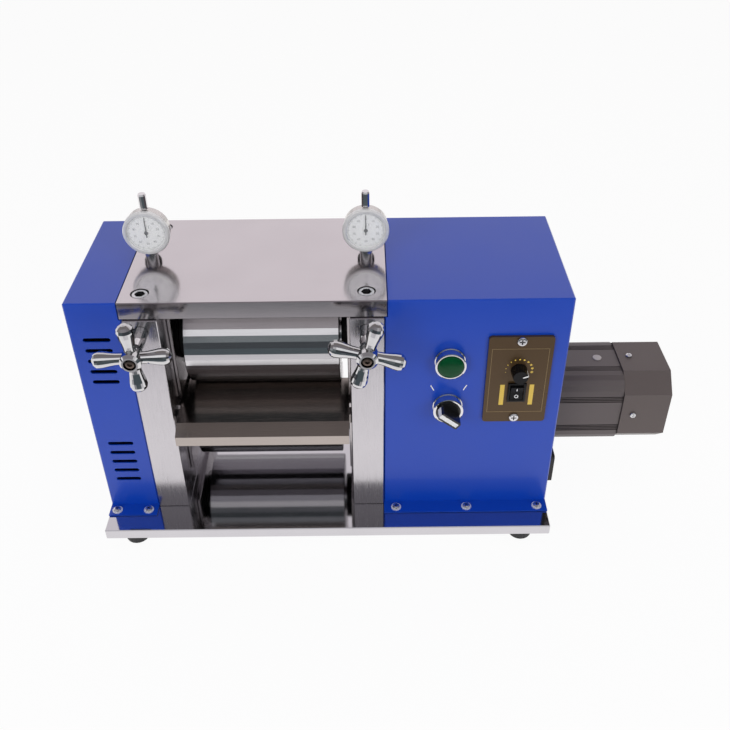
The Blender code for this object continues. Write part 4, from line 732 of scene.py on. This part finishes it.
CLAMP_HEIGHT = 0.2690
CLAMP_RADIUS = 0.0084
CLAMP_LENGTH = 0.0062
CLAMP_BACK = 0.0104
CLAMP_SIDES = 60
CLAMP_EDGE = 0.00008
CLAMP_DEPTH = 0.0004
CLAMP_TURN = {"left": Matrix.Rotation(radians(13), 4, "Z"), "right": Matrix.Rotation(0, 4, "Z")}
NECK_RADIUS = 0.0026
NECK_LENGTH = 0.0060
NECK_BACK = 0.0058
NECK_ROUND = 0.0003

HOLDER_RADIUS = 0.0062
HOLDER_FOOT = 0.2594
HOLDER_GAP = 0.0012
HOLDER_ROUND = 0.0005


def dial_numbers(side, centre):
    """Plain numbers round the face, each a thin raised shape."""
    made = []
    for i in range(10):
        angle = tau * i / 10
        place = centre + Vector((NUMBER_RING * sin(angle), 0, NUMBER_RING * cos(angle)))
        place.y = centre.y + DIAL_FACE_BACK - NUMBER_LIFT
        bpy.ops.object.select_all(action="DESELECT")
        bpy.ops.object.text_add(location=place, rotation=(pi / 2, 0, 0))
        number = bpy.context.object
        number.data.body = str(i * 10)
        number.data.size = NUMBER_HEIGHT
        number.data.align_x = "CENTER"
        number.data.align_y = "CENTER"
        number.data.extrude = NUMBER_THICK
        number.data.resolution_u = 3
        bpy.ops.object.convert(target="MESH")
        made.append(bpy.context.object)
    return merge(made, f"dial_numbers_{side}")


def dial_ticks(name, centre, radius, count, mark_size, back):
    """A ring of thin marks: one is made and spun round the middle."""
    length, width = mark_size
    size = (width, PRINT_THICK, length)
    mark = block(name, size, centre + Vector((0, back, radius - length / 2)))
    bpy.ops.object.transform_apply(location=True, rotation=True, scale=True)
    shape(mark)
    bpy.ops.mesh.select_all(action="SELECT")
    bpy.ops.mesh.spin(
        steps=count, dupli=True, angle=tau, center=centre, axis=(0, 1, 0), use_auto_merge=False
    )
    bpy.ops.object.mode_set(mode="OBJECT")
    return mark


def every_other_side(sides):
    """A test that takes every second face round a bar."""
    def wanted(place, normal):
        share = (place.xy.angle_signed(Vector((1, 0))) / tau) % 1
        return abs(normal.z) < 0.3 and round(share * 2 * sides) % 4 == 1
    return wanted


def dial_face(side, centre, body):
    """The white disc behind the glass, with its scale, its numbers and the small counter."""
    place = centre + Vector((0, DIAL_FACE_BACK - DIAL_FACE_SINK, 0))
    disc = bar(f"dial_face_{side}", DIAL_FACE_RADIUS, DIAL_FACE_THICK, place, "Y", 64)
    step_front(disc, DIAL_FACE_THICK / 2, DIAL_FACE_RIM, 0)
    settle(disc, body, "dial_white")

    back = DIAL_FACE_BACK - PRINT_LIFT
    longs = dial_ticks(f"dial_marks_{side}", centre, MARK_RING, 20, LONG_MARK, back)
    shorts = dial_ticks("dial_marks_short", centre, MARK_RING, 100, SHORT_MARK, back)
    settle(merge([longs, shorts], f"dial_marks_{side}"), body, "dial_ink")
    settle(dial_numbers(side, centre), body, "dial_ink")

    counter = centre + Vector((COUNTER_ACROSS, 0, COUNTER_UP))
    ring = dial_ticks(f"dial_counter_{side}", counter, COUNTER_RING, 10, COUNTER_MARK, back)
    hand = block("counter_hand", COUNTER_HAND, counter + Vector((0, back, COUNTER_HAND_UP)))
    bpy.ops.object.transform_apply(location=True, rotation=True, scale=True)
    settle(merge([ring, hand], f"dial_counter_{side}"), body, "dial_ink")


def dial_glass(side, centre, body):
    """The clear cover in the bezel, a little domed."""
    place = centre + Vector((0, GLASS_BACK, 0))
    glass = bar(f"dial_glass_{side}", GLASS_RADIUS, GLASS_THICK, place, "Y", 64)
    step_front(glass, GLASS_THICK / 2, GLASS_EDGE, GLASS_RISE)
    settle(glass, body, "gauge_glass")


def dial_rim(side, centre, body):
    """The knurled band round the bezel, by which it is turned."""
    knurl = bar(f"dial_rim_{side}", RIM_RADIUS, RIM_LENGTH, centre + Vector((0, RIM_BACK, 0)), "Y", RIM_SIDES)
    shape(knurl)
    pick(knurl, lambda place, way: abs(way.z) > 0.9)
    bpy.ops.mesh.inset(thickness=RIM_WALL, depth=0)
    bpy.ops.mesh.bridge_edge_loops()
    outer = RIM_RADIUS - RIM_WALL / 2
    knurled = every_other_side(RIM_SIDES)
    pick(knurl, lambda place, way: place.xy.length > outer and knurled(place, way))
    bpy.ops.mesh.inset(thickness=KNURL_EDGE, depth=-KNURL_DEPTH, use_individual=True)
    bpy.ops.object.mode_set(mode="OBJECT")
    settle(knurl, body, "bezel_metal", 20)


def dial_clamp(side, stem):
    """The dark nut behind the stem that clamps the gauge, and its neck."""
    swing = Matrix.Translation(stem) @ CLAMP_TURN[side] @ Matrix.Translation(-stem)
    place = stem + Vector((0, CLAMP_BACK, 0))
    thumb = bar(f"dial_clamp_{side}", CLAMP_RADIUS, CLAMP_LENGTH, place, "Y", CLAMP_SIDES)
    shape(thumb)
    pick(thumb, every_other_side(CLAMP_SIDES))
    bpy.ops.mesh.inset(thickness=CLAMP_EDGE, depth=-CLAMP_DEPTH, use_individual=True)
    bpy.ops.object.mode_set(mode="OBJECT")
    thumb.matrix_world = swing @ thumb.matrix_world
    settle(thumb, "press", "black_screw", 25)
    place = stem + Vector((0, NECK_BACK, 0))
    neck = bar(f"dial_clamp_neck_{side}", NECK_RADIUS, NECK_LENGTH, place, "Y", 20)
    round_rim(neck, NECK_LENGTH / 2, NECK_RADIUS, NECK_ROUND)
    neck.matrix_world = swing @ neck.matrix_world
    settle(neck, "press", "black_screw")


def dial_holder(side, stem, top):
    """The tube round the stem, from the press's top plate to just under the bezel."""
    foot = at(0, 0, HOLDER_FOOT).z
    tall = top - foot - HOLDER_GAP
    place = Vector((stem.x, stem.y, foot + tall / 2))
    tube = bar(f"dial_holder_{side}", HOLDER_RADIUS, tall, place, "Z", 48)
    round_rim(tube, tall / 2, HOLDER_RADIUS, HOLDER_ROUND)
    settle(tube, "press", "bright_screw")


def make_dials():
    for side in ("left", "right"):
        body = f"dial_bezel_{side}"
        low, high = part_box(body)
        centre = Vector(((low.x + high.x) / 2, low.y, (low.z + high.z) / 2))
        dial_face(side, centre, body)
        dial_glass(side, centre, body)
        dial_rim(side, centre, body)
        stem_low, stem_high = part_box(f"dial_plunger_{side}")
        stem = (stem_low + stem_high) / 2
        stem.z = at(0, 0, CLAMP_HEIGHT).z
        dial_clamp(side, stem)
        dial_holder(side, stem, low.z)


# Control panel

SELECTOR_ACROSS = 0.358
SELECTOR_UP = 0.136
SELECTOR_STRIPE = (0.0044, 0.0216, 0.0116, 0.0118, 0.0004)
SELECTOR_TURN = radians(-52)
TICKS = (("left", 0.3422, radians(-28)), ("right", 0.3743, radians(28)))
TICK_SIZE = (0.0011, 0.00012, 0.0070)
TICK_REACH = 0.00008
TICK_UP = 0.1576
INK_SOFT = 0.00005
TICK_SOFT = 0.00004

PLATE_ACROSS = 0.4245
PLATE_UP = 0.168
PLATE_REACH = 0.0033
BORDER_SIZE = (0.0548, 0.0770)
BORDER_WIDTH = 0.0005
BORDER_THICK = 0.0001
BORDER_SHIFT = Vector((-0.0002, -0.0001, -0.0005))
ROCKER_UP = 0.1545
ROCKER_FRAME_SIZE = (0.0178, 0.0226)
ROCKER_FRAME_WIDTH = 0.0021
ROCKER_FRAME_THICK = 0.0016
ROCKER_FRAME_REACH = 0.0014
ROCKER_FRAME_SOFT = 0.0003
BARS = (("left", 0.4103), ("right", 0.4390))
BAR_SIZE = (0.0044, 0.00014, 0.0250)
BAR_REACH = 0.00337
BAR_UP = 0.1505

KNOB_UP = 0.1805
DOT_RING = 0.0128
DOT_COUNT = 11
DOT_START = -100
DOT_STEP = 20
DOT_SMALLEST = 0.00035
DOT_GROWTH = 0.00010
DOT_THICK = 0.00012
DOT_EDGE_SHARE = 0.2
POINTER_STRIPE = (0.0012, 0.0058, 0.0076, 0.0089, 0.0005)
POINTER_TURN = radians(72)

PLATE_SCREWS = (("upper", 0.2146), ("lower", 0.1223))
PLATE_SCREW = (0.0048, 0.0022)
PLATE_SCREW_REACH = 0.0010

ROCKER_AXIS_REACH = 0.0013
ROCKER_TILT = radians(8)
ROCKER_FACE_REACH = 0.0031
ROCKER_FACE_LEAN = 2.0 / 8.2
ROCKER_MARK_UP = 0.0044
ON_MARK = (0.0009, 0.0003, 0.0038)
OFF_RADIUS = 0.0020
OFF_WIDTH = 0.0007
OFF_THICK = 0.0003


def bent_stripe(name, width, front, along, back, thick):
    """A stripe along a knob's front that turns over its pointing end and runs down the side."""
    face = block(name, (width, thick, front), (0, 0, along - front / 2 + thick / 2))
    face.data.transform(Matrix.Translation(face.location))
    face.location = (0, 0, 0)
    end = block("stripe_end", (width, back, thick), (0, 0, 0))
    end.data.transform(Matrix.Translation((0, back / 2 - thick / 2, along)))
    whole = merge([face, end], name)
    soften(whole, thick / 4, 1)
    return whole


def make_selector_lever():
    """The white stripe along the lever's front and over its pointing end."""
    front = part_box("selector_knob")[0].y
    centre = at(SELECTOR_ACROSS, 0, SELECTOR_UP)
    turn = Matrix.Rotation(SELECTOR_TURN, 4, "Y")
    stripe = bent_stripe("selector_stripe", *SELECTOR_STRIPE)
    stripe.matrix_world = Matrix.Translation((centre.x, front, centre.z)) @ turn
    settle(stripe, "selector_knob", "white_ink")


def panel_ticks():
    """Two white strokes above the selector."""
    for side, across, lean in TICKS:
        stroke = block(f"selector_mark_{side}", TICK_SIZE, at(across, -TICK_REACH, TICK_UP), (0, lean, 0))
        soften(stroke, TICK_SOFT, 1)
        settle(stroke, "press", "white_ink")


def open_frame(made, width, thick):
    """Cuts the middle out of a flat face, so that a rim of this width stays, and gives it thickness."""
    shape(made)
    bpy.ops.mesh.select_all(action="SELECT")
    bpy.ops.mesh.inset(thickness=width, depth=0)
    bpy.ops.mesh.delete(type="FACE")
    bpy.ops.object.mode_set(mode="OBJECT")
    wall = made.modifiers.new("wall", "SOLIDIFY")
    wall.thickness = thick
    wall.offset = 0
    bpy.ops.object.modifier_apply(modifier=wall.name)


def flat_frame(name, size, width, thick, place):
    """A thin upright frame: its outer size, the width of its sides and its thickness."""
    bpy.ops.object.select_all(action="DESELECT")
    bpy.ops.mesh.primitive_plane_add(size=1, location=place, rotation=(pi / 2, 0, 0))
    made = bpy.context.object
    made.name = name
    made.scale = (*size, 1)
    bpy.ops.object.transform_apply(location=False, rotation=False, scale=True)
    open_frame(made, width, thick)
    return made


def controller_frames():
    """The gold border, the rocker's frame and the two yellow bars."""
    place = at(PLATE_ACROSS, -PLATE_REACH, PLATE_UP) + BORDER_SHIFT
    border = flat_frame("controller_border", BORDER_SIZE, BORDER_WIDTH, BORDER_THICK, place)
    settle(border, "press", "panel_gold")
    place = at(PLATE_ACROSS, -PLATE_REACH - ROCKER_FRAME_REACH, ROCKER_UP)
    rim = flat_frame("rocker_frame", ROCKER_FRAME_SIZE, ROCKER_FRAME_WIDTH, ROCKER_FRAME_THICK, place)
    soften(rim, ROCKER_FRAME_SOFT, 2)
    settle(rim, "press", "knob_black")
    for name, across in BARS:
        stripe = block(f"controller_bar_{name}", BAR_SIZE, at(across, -BAR_REACH, BAR_UP))
        soften(stripe, INK_SOFT, 1)
        settle(stripe, "press", "panel_yellow")


def controller_dots(knob):
    """Dots round the knob that grow with the speed."""
    dots = []
    for i in range(DOT_COUNT):
        angle = radians(DOT_START + DOT_STEP * i)
        radius = DOT_SMALLEST + DOT_GROWTH * i
        place = knob + Vector((DOT_RING * sin(angle), -DOT_THICK / 2, DOT_RING * cos(angle)))
        dot = bar(f"controller_dot_{i}", radius, DOT_THICK, place, "Y", 16)
        step_front(dot, DOT_THICK / 2, radius * DOT_EDGE_SHARE, 0)
        dots.append(dot)
    settle(merge(dots, "controller_dots"), "press", "panel_yellow")


def speed_pointer(knob):
    """The white stripe over the speed knob's face and down its side."""
    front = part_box("speed_knob")[0].y
    pointer = bent_stripe("speed_pointer", *POINTER_STRIPE)
    turn = Matrix.Rotation(POINTER_TURN, 4, "Y")
    pointer.matrix_world = Matrix.Translation((knob.x, front, knob.z)) @ turn
    settle(pointer, "speed_knob", "white_ink")


def rocker_marks():
    """The stroke on the rocker's upper half and the ring on its lower half."""
    axis = Matrix.Translation(at(PLATE_ACROSS, -ROCKER_AXIS_REACH, ROCKER_UP))
    tilt = Matrix.Rotation(ROCKER_TILT, 4, "X")
    out = -ROCKER_FACE_REACH - ROCKER_MARK_UP * ROCKER_FACE_LEAN
    stroke = block("rocker_on", ON_MARK, (0, 0, 0))
    upper = axis @ tilt @ Matrix.Translation((0, out, ROCKER_MARK_UP))
    stroke.matrix_world = upper @ Matrix.Rotation(ROCKER_FACE_LEAN, 4, "X")
    soften(stroke, INK_SOFT, 1)
    settle(stroke, "power_rocker", "white_ink")
    bpy.ops.object.select_all(action="DESELECT")
    bpy.ops.mesh.primitive_circle_add(vertices=28, radius=OFF_RADIUS, fill_type="NGON", location=(0, 0, 0))
    ring = bpy.context.object
    ring.name = "rocker_off"
    open_frame(ring, OFF_WIDTH, OFF_THICK)
    lower = axis @ tilt @ Matrix.Translation((0, out, -ROCKER_MARK_UP))
    ring.matrix_world = lower @ Matrix.Rotation(pi / 2 - ROCKER_FACE_LEAN, 4, "X")
    settle(ring, "power_rocker", "white_ink")


def make_controller():
    """Gold border, yellow bars, growing dots, two screws, the pointer, the rocker's frame and marks."""
    controller_frames()
    knob = at(PLATE_ACROSS, -PLATE_REACH, KNOB_UP)
    controller_dots(knob)
    for name, up in PLATE_SCREWS:
        place = at(PLATE_ACROSS, -PLATE_REACH - PLATE_SCREW_REACH, up)
        pan_screw(f"controller_screw_{name}", place, *PLATE_SCREW, "Y", "bright_screw")
        # A dark painted shade piece in the screw's cross
        screw_cross_shade(f"controller_cross_{name}", place, *PLATE_SCREW, "Y")
    speed_pointer(knob)
    rocker_marks()


# Signal lamp. Each ring of the lens is its width and its rise, from the rim inwards

LENS_DOME = 0.0027
LENS_SIDES = 72
LENS_RINGS = ((0.0006, 0.0008), (0.0014, 0.0008), (0.0026, 0.0006), (0.0032, 0.0003), (0.0030, 0.0001))
LENS_RIB_EDGE = 0.0001
LENS_RIB_DEPTH = 0.0002


def every_other_rib(place, normal):
    """Every second face round the lens's sloping shoulder."""
    share = (place.xy.angle_signed(Vector((1, 0))) / tau) % 1
    return 0.3 < normal.z < 0.75 and round(share * 2 * LENS_SIDES) % 4 == 1


def make_lamp_lens():
    """A finer domed lens with ribs round its shoulder, in place of the plain one."""
    low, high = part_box("lamp_lens")
    radius = (high.x - low.x) / 2
    centre = (low + high) / 2
    depth = high.y - low.y - LENS_DOME
    place = Vector((centre.x, high.y - depth / 2, centre.z))
    lens = bar("lamp_lens_domed", radius, depth, place, "Y", LENS_SIDES)
    shape(lens)
    front_cap(lens, depth / 2)
    for width, rise in LENS_RINGS:
        bpy.ops.mesh.inset(thickness=width, depth=rise)
    pick(lens, every_other_rib)
    bpy.ops.mesh.inset(thickness=LENS_RIB_EDGE, depth=-LENS_RIB_DEPTH, use_individual=True)
    bpy.ops.object.mode_set(mode="OBJECT")
    settle(lens, "press", "lamp_green", 20)
    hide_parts("lamp_lens")


# Top plate

# A dark hex disc in each top screw's socket: painted shade
SOCKET_FLOOR_RADIUS = 0.0048
SOCKET_FLOOR_THICK = 0.0010
SOCKET_FLOOR_DEPTH = 0.0042
SOCKET_FLOOR_EDGE = 0.0006
SOCKET_FLOOR_SINK = 0.0003


def make_socket_shades():
    """Painted shade: a dark hex disc at the floor of the socket in each screw of the top plate."""
    for end in ("front", "rear"):
        for side in ("left", "right"):
            low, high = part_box(f"top_screw_{end}_{side}")
            place = Vector(((low.x + high.x) / 2, (low.y + high.y) / 2, high.z - SOCKET_FLOOR_DEPTH))
            floor = bar(f"screw_socket_{end}_{side}", SOCKET_FLOOR_RADIUS, SOCKET_FLOOR_THICK, place, "Z", 6)
            step_front(floor, SOCKET_FLOOR_THICK / 2, SOCKET_FLOOR_EDGE, -SOCKET_FLOOR_SINK)
            settle(floor, "press", "shade_black")


# Motor and inlet

PLUG_ACROSS = 0.5253
PLUG_RADIUS = 0.0046
PLUG_THICK = 0.0012
PLUG_RISE = 0.0003
PLUG_EDGE = 0.0008
PLUG_DOME = 0.0002
COVER_SCREW = (0.0034, 0.0024)
COVER_SCREW_RISE = 0.0010
COVER_SCREW_TOP_ACROSS = 0.5589
COVER_SCREW_FRONT_ACROSS = 0.5598
LABEL_ACROSS = 0.4768
LABEL_SIZE = (0.0070, 0.0006, 0.030)
LABEL_RISE = 0.0002
LABEL_SOFT = 0.0002

PIN_SIZE = (0.0110, 0.0020, 0.0040)
PIN_DEPTH = 0.0135
PIN_SOFT = 0.0004
PINS = (("earth", 0, 0.0050), ("live", -0.0042, -0.0045), ("neutral", 0.0042, -0.0045))


def make_motor_details():
    """The plug on top, the fan cover's two screws and the blank plate on the front."""
    cover_low, cover_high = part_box("fan_cover")
    body_low, body_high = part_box("motor_body")
    middle = (cover_low + cover_high) / 2
    place = Vector((at(PLUG_ACROSS, 0, 0).x, middle.y, body_high.z + PLUG_RISE))
    top_plug = bar("motor_plug", PLUG_RADIUS, PLUG_THICK, place, "Z", 32)
    step_front(top_plug, PLUG_THICK / 2, PLUG_EDGE, PLUG_DOME)
    settle(top_plug, "press", "plug_grey")
    place = Vector((at(COVER_SCREW_TOP_ACROSS, 0, 0).x, middle.y, cover_high.z + COVER_SCREW_RISE))
    pan_screw("cover_screw_top", place, *COVER_SCREW, "Z", "bright_screw")
    place = Vector((at(COVER_SCREW_FRONT_ACROSS, 0, 0).x, cover_low.y - COVER_SCREW_RISE, middle.z))
    pan_screw("cover_screw_front", place, *COVER_SCREW, "Y", "bright_screw")
    place = Vector((at(LABEL_ACROSS, 0, 0).x, body_low.y - LABEL_RISE, middle.z))
    label = block("motor_plate", LABEL_SIZE, place)
    soften(label, LABEL_SOFT, 1)
    settle(label, "press", "plate_silver")


def make_inlet_pins():
    """Three flat pins inside the power inlet."""
    low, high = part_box("power_inlet")
    middle = (low + high) / 2
    root = high.x - PIN_DEPTH
    for name, y, z in PINS:
        place = Vector((root + PIN_SIZE[0] / 2, middle.y + y, middle.z + z))
        pin = block(f"inlet_pin_{name}", PIN_SIZE, place)
        soften(pin, PIN_SOFT, 2)
        settle(pin, "press", "bright_screw")


# Studio

def steps(nodes, stops):
    """A colour ramp with these places and colours."""
    ramp = nodes.new("ShaderNodeValToRGB")
    ramp.color_ramp.interpolation = "EASE"
    ends = ramp.color_ramp.elements
    ends[0].position, ends[0].color = stops[0][0], (*stops[0][1], 1)
    ends[1].position, ends[1].color = stops[-1][0], (*stops[-1][1], 1)
    for place, colour in stops[1:-1]:
        ends.new(place).color = (*colour, 1)
    return ramp


# Light that the floor gives in reflections: its share of the way in from far in front, and its colour
FLOOR = [
    (0.0, (0.08, 0.10, 0.11)),
    (0.25, (0.19, 0.20, 0.21)),
    (0.38, (0.44, 0.43, 0.45)),
    (0.5, (0.72, 0.70, 0.72)),
    (0.66, (0.93, 0.91, 0.92)),
    (1.0, (1.0, 0.98, 0.98)),
]


FLOOR_COLOUR = (0.86, 0.86, 0.87, 1)
FLOOR_SIZE = 8
FLOOR_DROP = 0.0006
FLOOR_FAR = -0.62
FLOOR_NEAR = -0.22
FLOOR_WHITE_SHARE = 0.94
ROOM_STRENGTH = 0.85
ONE_BOUNCE_PASSED = 1.5
TWICE_MIRRORED_SHARE = 0.5


def dim_twice_mirrored(nodes, links, path, shader):
    """Weakens this light where it is seen through two mirror bounces."""
    twice = arithmetic(nodes, "GREATER_THAN", ONE_BOUNCE_PASSED)
    full = shader.inputs["Strength"].default_value
    strength = spread_between(nodes, full, full * TWICE_MIRRORED_SHARE)
    links.new(path.outputs["Glossy Depth"], twice.inputs[0])
    links.new(twice.outputs["Value"], strength.inputs["Value"])
    links.new(strength.outputs["Result"], shader.inputs["Strength"])


def make_floor():
    """White with a soft shadow; in reflections it is pale near the press and dark far in front."""
    bpy.ops.object.select_all(action="DESELECT")
    bpy.ops.mesh.primitive_plane_add(size=FLOOR_SIZE, location=(0, 0, -FLOOR_DROP))
    floor = bpy.context.object
    floor.name = "studio_floor"
    material = bpy.data.materials.new("studio_white")
    material.use_nodes = True
    nodes = material.node_tree.nodes
    links = material.node_tree.links
    nodes.clear()
    out = nodes.new("ShaderNodeOutputMaterial")
    plain = nodes.new("ShaderNodeBsdfDiffuse")
    plain.inputs["Color"].default_value = FLOOR_COLOUR
    white = nodes.new("ShaderNodeEmission")
    white.inputs["Color"].default_value = (1, 1, 1, 1)
    room = nodes.new("ShaderNodeEmission")
    place = nodes.new("ShaderNodeTexCoord")
    parts = nodes.new("ShaderNodeSeparateXYZ")
    reach = spread_between(nodes, 0, 1, (FLOOR_FAR, FLOOR_NEAR))
    ramp = steps(nodes, FLOOR)
    links.new(place.outputs["Object"], parts.inputs["Vector"])
    links.new(parts.outputs["Y"], reach.inputs["Value"])
    links.new(reach.outputs["Result"], ramp.inputs["Fac"])
    links.new(ramp.outputs["Color"], room.inputs["Color"])
    path = nodes.new("ShaderNodeLightPath")
    dim_twice_mirrored(nodes, links, path, room)
    share = arithmetic(nodes, "MULTIPLY", FLOOR_WHITE_SHARE)
    mirrored = nodes.new("ShaderNodeMixShader")
    seen = nodes.new("ShaderNodeMixShader")
    links.new(path.outputs["Is Glossy Ray"], mirrored.inputs["Fac"])
    links.new(plain.outputs["BSDF"], mirrored.inputs[1])
    links.new(room.outputs["Emission"], mirrored.inputs[2])
    links.new(path.outputs["Is Camera Ray"], share.inputs[0])
    links.new(share.outputs["Value"], seen.inputs["Fac"])
    links.new(mirrored.outputs["Shader"], seen.inputs[1])
    links.new(white.outputs["Emission"], seen.inputs[2])
    links.new(seen.outputs["Shader"], out.inputs["Surface"])
    floor.data.materials.append(material)


# Light that the room gives in reflections: degrees up from straight ahead of the press, and its colour
ROOM = [
    (-180, (0.55, 0.55, 0.55)),
    (-2, (0.06, 0.065, 0.075)),
    (7, (0.07, 0.08, 0.085)),
    (15, (0.19, 0.22, 0.23)),
    (24, (0.28, 0.30, 0.31)),
    (32, (1.08, 1.08, 1.10)),
    (39, (1.16, 1.15, 1.17)),
    (47, (0.33, 0.31, 0.33)),
    (64, (0.26, 0.24, 0.26)),
    (90, (0.24, 0.22, 0.22)),
    (112, (0.26, 0.23, 0.22)),
    (130, (0.97, 0.92, 0.95)),
    (165, (1.03, 0.98, 1.01)),
    (180, (0.70, 0.68, 0.69)),
]


def make_world():
    """A room that is bright in front and above, dark overhead and low in front, and pale behind."""
    world = bpy.data.worlds.new("studio_room")
    bpy.context.scene.world = world
    world.use_nodes = True
    nodes = world.node_tree.nodes
    links = world.node_tree.links
    nodes.clear()
    out = nodes.new("ShaderNodeOutputWorld")
    room = nodes.new("ShaderNodeBackground")
    backdrop = nodes.new("ShaderNodeBackground")
    backdrop.inputs["Color"].default_value = (1, 1, 1, 1)
    place = nodes.new("ShaderNodeTexCoord")
    parts = nodes.new("ShaderNodeSeparateXYZ")
    front = arithmetic(nodes, "MULTIPLY", -1)
    angle = arithmetic(nodes, "ARCTAN2")
    spread = spread_between(nodes, 0, 1, (-pi, pi))
    ramp = steps(nodes, [((degrees + 180) / 360, colour) for degrees, colour in ROOM])
    links.new(place.outputs["Generated"], parts.inputs["Vector"])
    links.new(parts.outputs["Y"], front.inputs[0])
    links.new(parts.outputs["Z"], angle.inputs[0])
    links.new(front.outputs["Value"], angle.inputs[1])
    links.new(angle.outputs["Value"], spread.inputs["Value"])
    links.new(spread.outputs["Result"], ramp.inputs["Fac"])
    links.new(ramp.outputs["Color"], room.inputs["Color"])
    path = nodes.new("ShaderNodeLightPath")
    mix = nodes.new("ShaderNodeMixShader")
    links.new(path.outputs["Is Camera Ray"], mix.inputs["Fac"])
    links.new(room.outputs["Background"], mix.inputs[1])
    links.new(backdrop.outputs["Background"], mix.inputs[2])
    links.new(mix.outputs["Shader"], out.inputs["Surface"])
    room.inputs["Strength"].default_value = ROOM_STRENGTH
    dim_twice_mirrored(nodes, links, path, room)


def soft_lamp(name, place, target, size, power):
    """An area lamp that lights the press and doesn't show in reflections."""
    light = bpy.data.lights.new(name, "AREA")
    light.shape = "RECTANGLE"
    light.size, light.size_y = size
    light.energy = power
    lamp = bpy.data.objects.new(name, light)
    bpy.context.scene.collection.objects.link(lamp)
    lamp.location = place
    lamp.rotation_euler = (Vector(target) - Vector(place)).to_track_quat("-Z", "Y").to_euler()
    lamp.visible_glossy = False


# Each lamp's name, place, target, size and power
LAMPS = (
    ("ceiling", (0.0, -0.2, 1.7), (0, 0, 0.1), (1.8, 1.2), 6),
    ("front_left", (-1.0, -1.5, 0.9), (0, 0, 0.15), (0.9, 0.9), 11),
    ("front_right", (1.1, -1.3, 0.8), (0, 0, 0.15), (0.8, 0.9), 8),
)
CAMERA_LENS = 43.37
CAMERA_FILM = 36
CAMERA_PLACE = (0.27755, -0.6782, 0.6907)
CAMERA_RIGHT = Vector((0.9999, -0.0058, -0.0098)).normalized()
CAMERA_AHEAD = Vector((-0.0012, 0.8025, -0.5966)).normalized()


def make_camera():
    """The photograph's viewpoint: a little right of the rolls, looking down on the front."""
    camera = bpy.data.objects.new("camera", bpy.data.cameras.new("camera"))
    bpy.context.scene.collection.objects.link(camera)
    camera.data.lens = CAMERA_LENS
    camera.data.sensor_width = CAMERA_FILM
    columns = (CAMERA_RIGHT, CAMERA_RIGHT.cross(CAMERA_AHEAD), -CAMERA_AHEAD)
    matrix = Matrix(columns).transposed().to_4x4()
    matrix.translation = at(*CAMERA_PLACE)
    camera.matrix_world = matrix
    bpy.context.scene.camera = camera


bpy.context.scene.view_settings.view_transform = "Standard"
make_camera()
make_floor()
make_world()
for lamp in LAMPS:
    soft_lamp(*lamp)
dress_solids()
flange_screws()
handle_caps()
make_dials()
make_selector_lever()
panel_ticks()
make_controller()
make_lamp_lens()
make_socket_shades()
make_motor_details()
make_inlet_pins()
